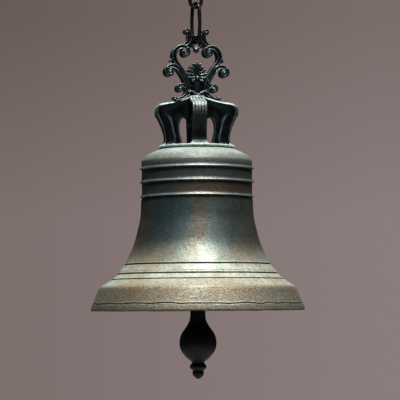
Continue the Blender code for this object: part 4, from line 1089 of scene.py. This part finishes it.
def blackened_iron(name, rust, marks, metal=0.35):
    mat, tree, shader = new_material(name)
    skin_node = use_group(tree, iron_skin, Rust=rust, Marks=marks)
    paint(tree, shader, skin_node.outputs["Color"], skin_node.outputs["Roughness"])
    shader.inputs["Metallic"].default_value = metal
    shader.inputs["Specular IOR Level"].default_value = 0.3
    bump(tree, shader, 0.25, 0.0005, skin_node.outputs["Height"])
    return mat


def turned_brass():
    mat, tree, shader = new_material("turned_brass")
    where = object_place(tree)
    rings = put(tree, "ShaderNodeTexWave", {"wave_type": "RINGS", "rings_direction": "Y"}, Vector=where,
                Scale=900.0, Distortion=1.5, Detail=2.0).outputs["Fac"]
    tarnish = cloud(tree, 150.0, 0.5, 0.18, 1.0)
    color = blend_color(tree, tarnish, (0.58, 0.43, 0.17), (0.30, 0.20, 0.085))
    paint(tree, shader, color, ramp(tree, tarnish, 0.0, 1.0, 0.28, 0.46))
    shader.inputs["Metallic"].default_value = 1.0
    bump(tree, shader, 0.06, 0.0001, rings)
    return mat


repaint(blackened_iron("forged_black_iron", 0.55, 1.0), "clapper_fork")
repaint(zinc_plate, "clapper_pin", "clapper_pin_nut")
repaint(turned_brass(), "clapper_bush", "side_washer_front", "side_washer_back")

# ------------------------------------------------------------------ Clapper
# One iron forging: an eye for the bush, a stem that thickens downward, the ball that meets the sound
# bow, and a two-knob tail to pull or tie. Blackened all over, with light hammer marks and some rust.
clapper_low, clapper_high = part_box("clapper")
TAIL_TIP = (clapper_low.z - LIP_Z) / MM
EYE_OUTER_R = 14.0
EYE_HALF = 7.5
BUSH_SEAT_R = 7.4
CLAPPER_EYE_Z = (clapper_high.z - LIP_Z) / MM - EYE_OUTER_R
BALL_Z = TAIL_TIP + 50.7
STEM = ((-50.7, 0.0), (-50.0, 2.4), (-48.3, 4.4), (-46.2, 6.6), (-44.2, 7.7), (-42.0, 8.2), (-40.4, 7.9),
        (-39.0, 7.4), (-37.6, 8.4), (-36.0, 10.4), (-34.2, 11.6), (-32.0, 11.6), (-30.2, 10.6),
        (-28.8, 9.2), (-27.4, 8.6), (-26.0, 9.4), (-23.4, 12.6), (-20.4, 16.2), (-16.9, 19.2),
        (-12.6, 22.6), (-8.1, 24.7), (-3.2, 25.9), (1.6, 26.0), (6.2, 25.5), (10.4, 24.2), (14.4, 22.5),
        (17.9, 20.0), (21.8, 17.2), (25.5, 14.8), (28.6, 13.1), (31.0, 12.0), (35.0, 11.1), (40.0, 10.7),
        (52.0, 10.4), (90.0, 9.4), (130.0, 8.6), (170.0, 8.1), (206.0, 8.0), (222.0, 8.0))


def make_clapper():
    """The turned profile, faintly eight-sided where the stem was drawn out, joined to the eye."""
    step = 0.95
    flat = np.arange(-27.55, 27.6, step)
    up = np.arange(TAIL_TIP - 2.0, CLAPPER_EYE_Z + EYE_OUTER_R + 2.0, step)
    x, y, z = np.meshgrid(flat, flat, up, indexing="ij")
    curve = smooth_path(STEM, 4)
    radius = np.interp(up - BALL_Z, curve[:, 0], curve[:, 1], right=-30.0)
    slope = np.clip(np.gradient(radius, step), -2.5, 2.5)
    rho = np.hypot(x, y)
    wrought = 0.22 * np.cos(np.arctan2(y, x) * 8.0) * step_up(up, BALL_Z + 34.0, BALL_Z + 60.0)
    stem = (rho - radius + wrought) / np.sqrt(1.0 + slope ** 2)
    stem = np.maximum(stem, z - CLAPPER_EYE_Z + EYE_OUTER_R - 1.0)
    around = np.hypot(x, z - CLAPPER_EYE_Z)
    eye = rounded_slab(around - EYE_OUTER_R, np.abs(y) - EYE_HALF, 2.2)
    field = blend(stem, eye, 4.5)
    return skin("clapper_forging", np.maximum(field, BUSH_SEAT_R - around), (flat, flat, up), 2)


clapper = make_clapper()
cast_wobble(clapper, 0.10)
clapper.data.materials.append(blackened_iron("clapper_iron", 0.25, 0.8, 0.2))
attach(clapper, "clapper_body")
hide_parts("clapper")

# ------------------------------------------------------------------ Chain links
# Long-link chain of bent and butt-welded steel wire, its ends round and its sides bowed a little.
# Each hangs at about a right angle to the next. Oxidised almost black, with patches rubbed brighter.
WIRE_R = 2.5
LINK_HALF_WIDTH = 9.5
LINK_END_R = 8.0
LINK_END = 20.0


def link_path():
    """Centre line of a link round its middle, as (across, up) points."""
    sweep = [math.radians(174 - 168 * k / 24) for k in range(25)]
    top = [(LINK_END_R * math.cos(a), LINK_END + LINK_END_R * math.sin(a)) for a in sweep]
    right = smooth_path([top[-2], top[-1], (LINK_HALF_WIDTH, 0.0), (top[-1][0], -top[-1][1]),
                         (top[-2][0], -top[-2][1])], 12)[13:36].tolist()
    half = top + right
    return half + [(-x, -z) for x, z in half]


def wire_loop(name, path, radius, turn, height, weld):
    """A closed wire along a flat path, with a weld's swelling at a share of its length."""
    sides = 28
    verts = []
    count = len(path)
    for i, (across, up) in enumerate(path):
        before = path[i - 1]
        after = path[(i + 1) % count]
        along = Vector((after[0] - before[0], 0.0, after[1] - before[1])).normalized()
        out = along.cross(Vector((0.0, 1.0, 0.0)))
        share = min(abs(i / count - weld), 1.0 - abs(i / count - weld)) * count / 2.2
        swell = 0.10 * math.exp(-share ** 2) + 0.02 * noise.noise(Vector((i * 0.3, weld * 40.0, 2.0)))
        r = radius * (1.0 + swell)
        for k in range(sides):
            angle = math.tau * k / sides
            spot = Vector((across, r * math.sin(angle), up)) + out * (r * math.cos(angle))
            verts.append(spot * MM)
    piece = new_piece(name, verts, ring_faces(count, sides))
    lift = Matrix.Translation((0.0, 0.0, above_lip(height)))
    piece.data.transform(lift @ Matrix.Rotation(turn, 4, "Z"))
    return piece


def oxidised_steel():
    mat, tree, shader = new_material("oxidised_steel_wire")
    where = object_place(tree)
    drawn = put(tree, "ShaderNodeTexNoise", Vector=where, Scale=700.0, Detail=3.0, Roughness=0.6).outputs[0]
    worn = cloud(tree, 95.0, 0.56, 0.10, 0.5)
    color = blend_color(tree, worn, (0.022, 0.019, 0.022), (0.075, 0.066, 0.074))
    rust = times(tree, cloud(tree, 240.0, 0.62, 0.06, 1.0), 0.5)
    color = blend_color(tree, rust, color, (0.045, 0.022, 0.012))
    paint(tree, shader, color, ramp(tree, worn, 0.0, 1.0, 0.36, 0.27))
    tree.links.new(ramp(tree, rust, 0.0, 1.0, 0.9, 0.3), shader.inputs["Metallic"])
    bump(tree, shader, 0.10, 0.0002, drawn)
    return mat


wire_steel = oxidised_steel()
for name, body, turn, weld in (("hanger_link", "lower_chain", -59.0, 0.30),
                               ("upper_link", "upper_chain", 10.0, 0.78)):
    low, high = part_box(name)
    middle = ((low.z + high.z) / 2 - LIP_Z) / MM
    link = wire_loop(name + "_wire", link_path(), WIRE_R, math.radians(turn), middle, weld)
    link.data.materials.append(wire_steel)
    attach(link, body)
    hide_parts(name)

# ------------------------------------------------------------------ Ceiling fitting
# A turned iron plate with four countersunk screw holes goes up against the ceiling, with a forged
# screw eye locked in its boss by a thin nut. Plate and nut are the frame's own solids, finished here.
eye_low, eye_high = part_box("ceiling_eye")
RING_R = 11.0
RING_WIRE_R = 3.0
RING_SHANK_R = 4.0
THREAD_DEPTH = 0.16
THREAD_PITCH = 2.5
RING_TURN = math.radians(-80.0)
RING_Z = (eye_low.z - LIP_Z) / MM + RING_R + RING_WIRE_R
SHANK_END = (eye_high.z - LIP_Z) / MM


def make_ceiling_eye():
    step = 0.5
    flat = np.arange(-15.5, 15.6, step)
    deep = np.arange(-6.0, 6.1, step)
    up = np.arange(RING_Z - 15.5, SHANK_END + 1.5, step)
    x, y, z = np.meshgrid(flat, deep, up, indexing="ij")
    ring = np.hypot(np.hypot(x, z - RING_Z) - RING_R, y) - RING_WIRE_R
    rho = np.hypot(x, y)
    shank_start = RING_Z + RING_R
    thread = THREAD_DEPTH * np.sin(math.tau * z / THREAD_PITCH + np.arctan2(y, x)) * (z > shank_start + 9.0)
    lengthwise = np.abs(z - (shank_start + SHANK_END) / 2) - (SHANK_END - shank_start) / 2
    shank = rounded_slab(rho - RING_SHANK_R + THREAD_DEPTH + thread, lengthwise, 0.7)
    eye = skin("ceiling_eye_forging", blend(ring, shank, 2.4), (flat, deep, up), 1)
    eye.data.transform(Matrix.Rotation(RING_TURN, 4, "Z"))
    return eye


ceiling_eye = make_ceiling_eye()
ceiling_eye.data.materials.append(wire_steel)
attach(ceiling_eye, "ceiling_fitting")
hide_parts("ceiling_eye")
repaint(blackened_iron("ceiling_plate_iron", 0.35, 0.3), "ceiling_plate")
repaint(zinc_plate, "ceiling_lock_nut")
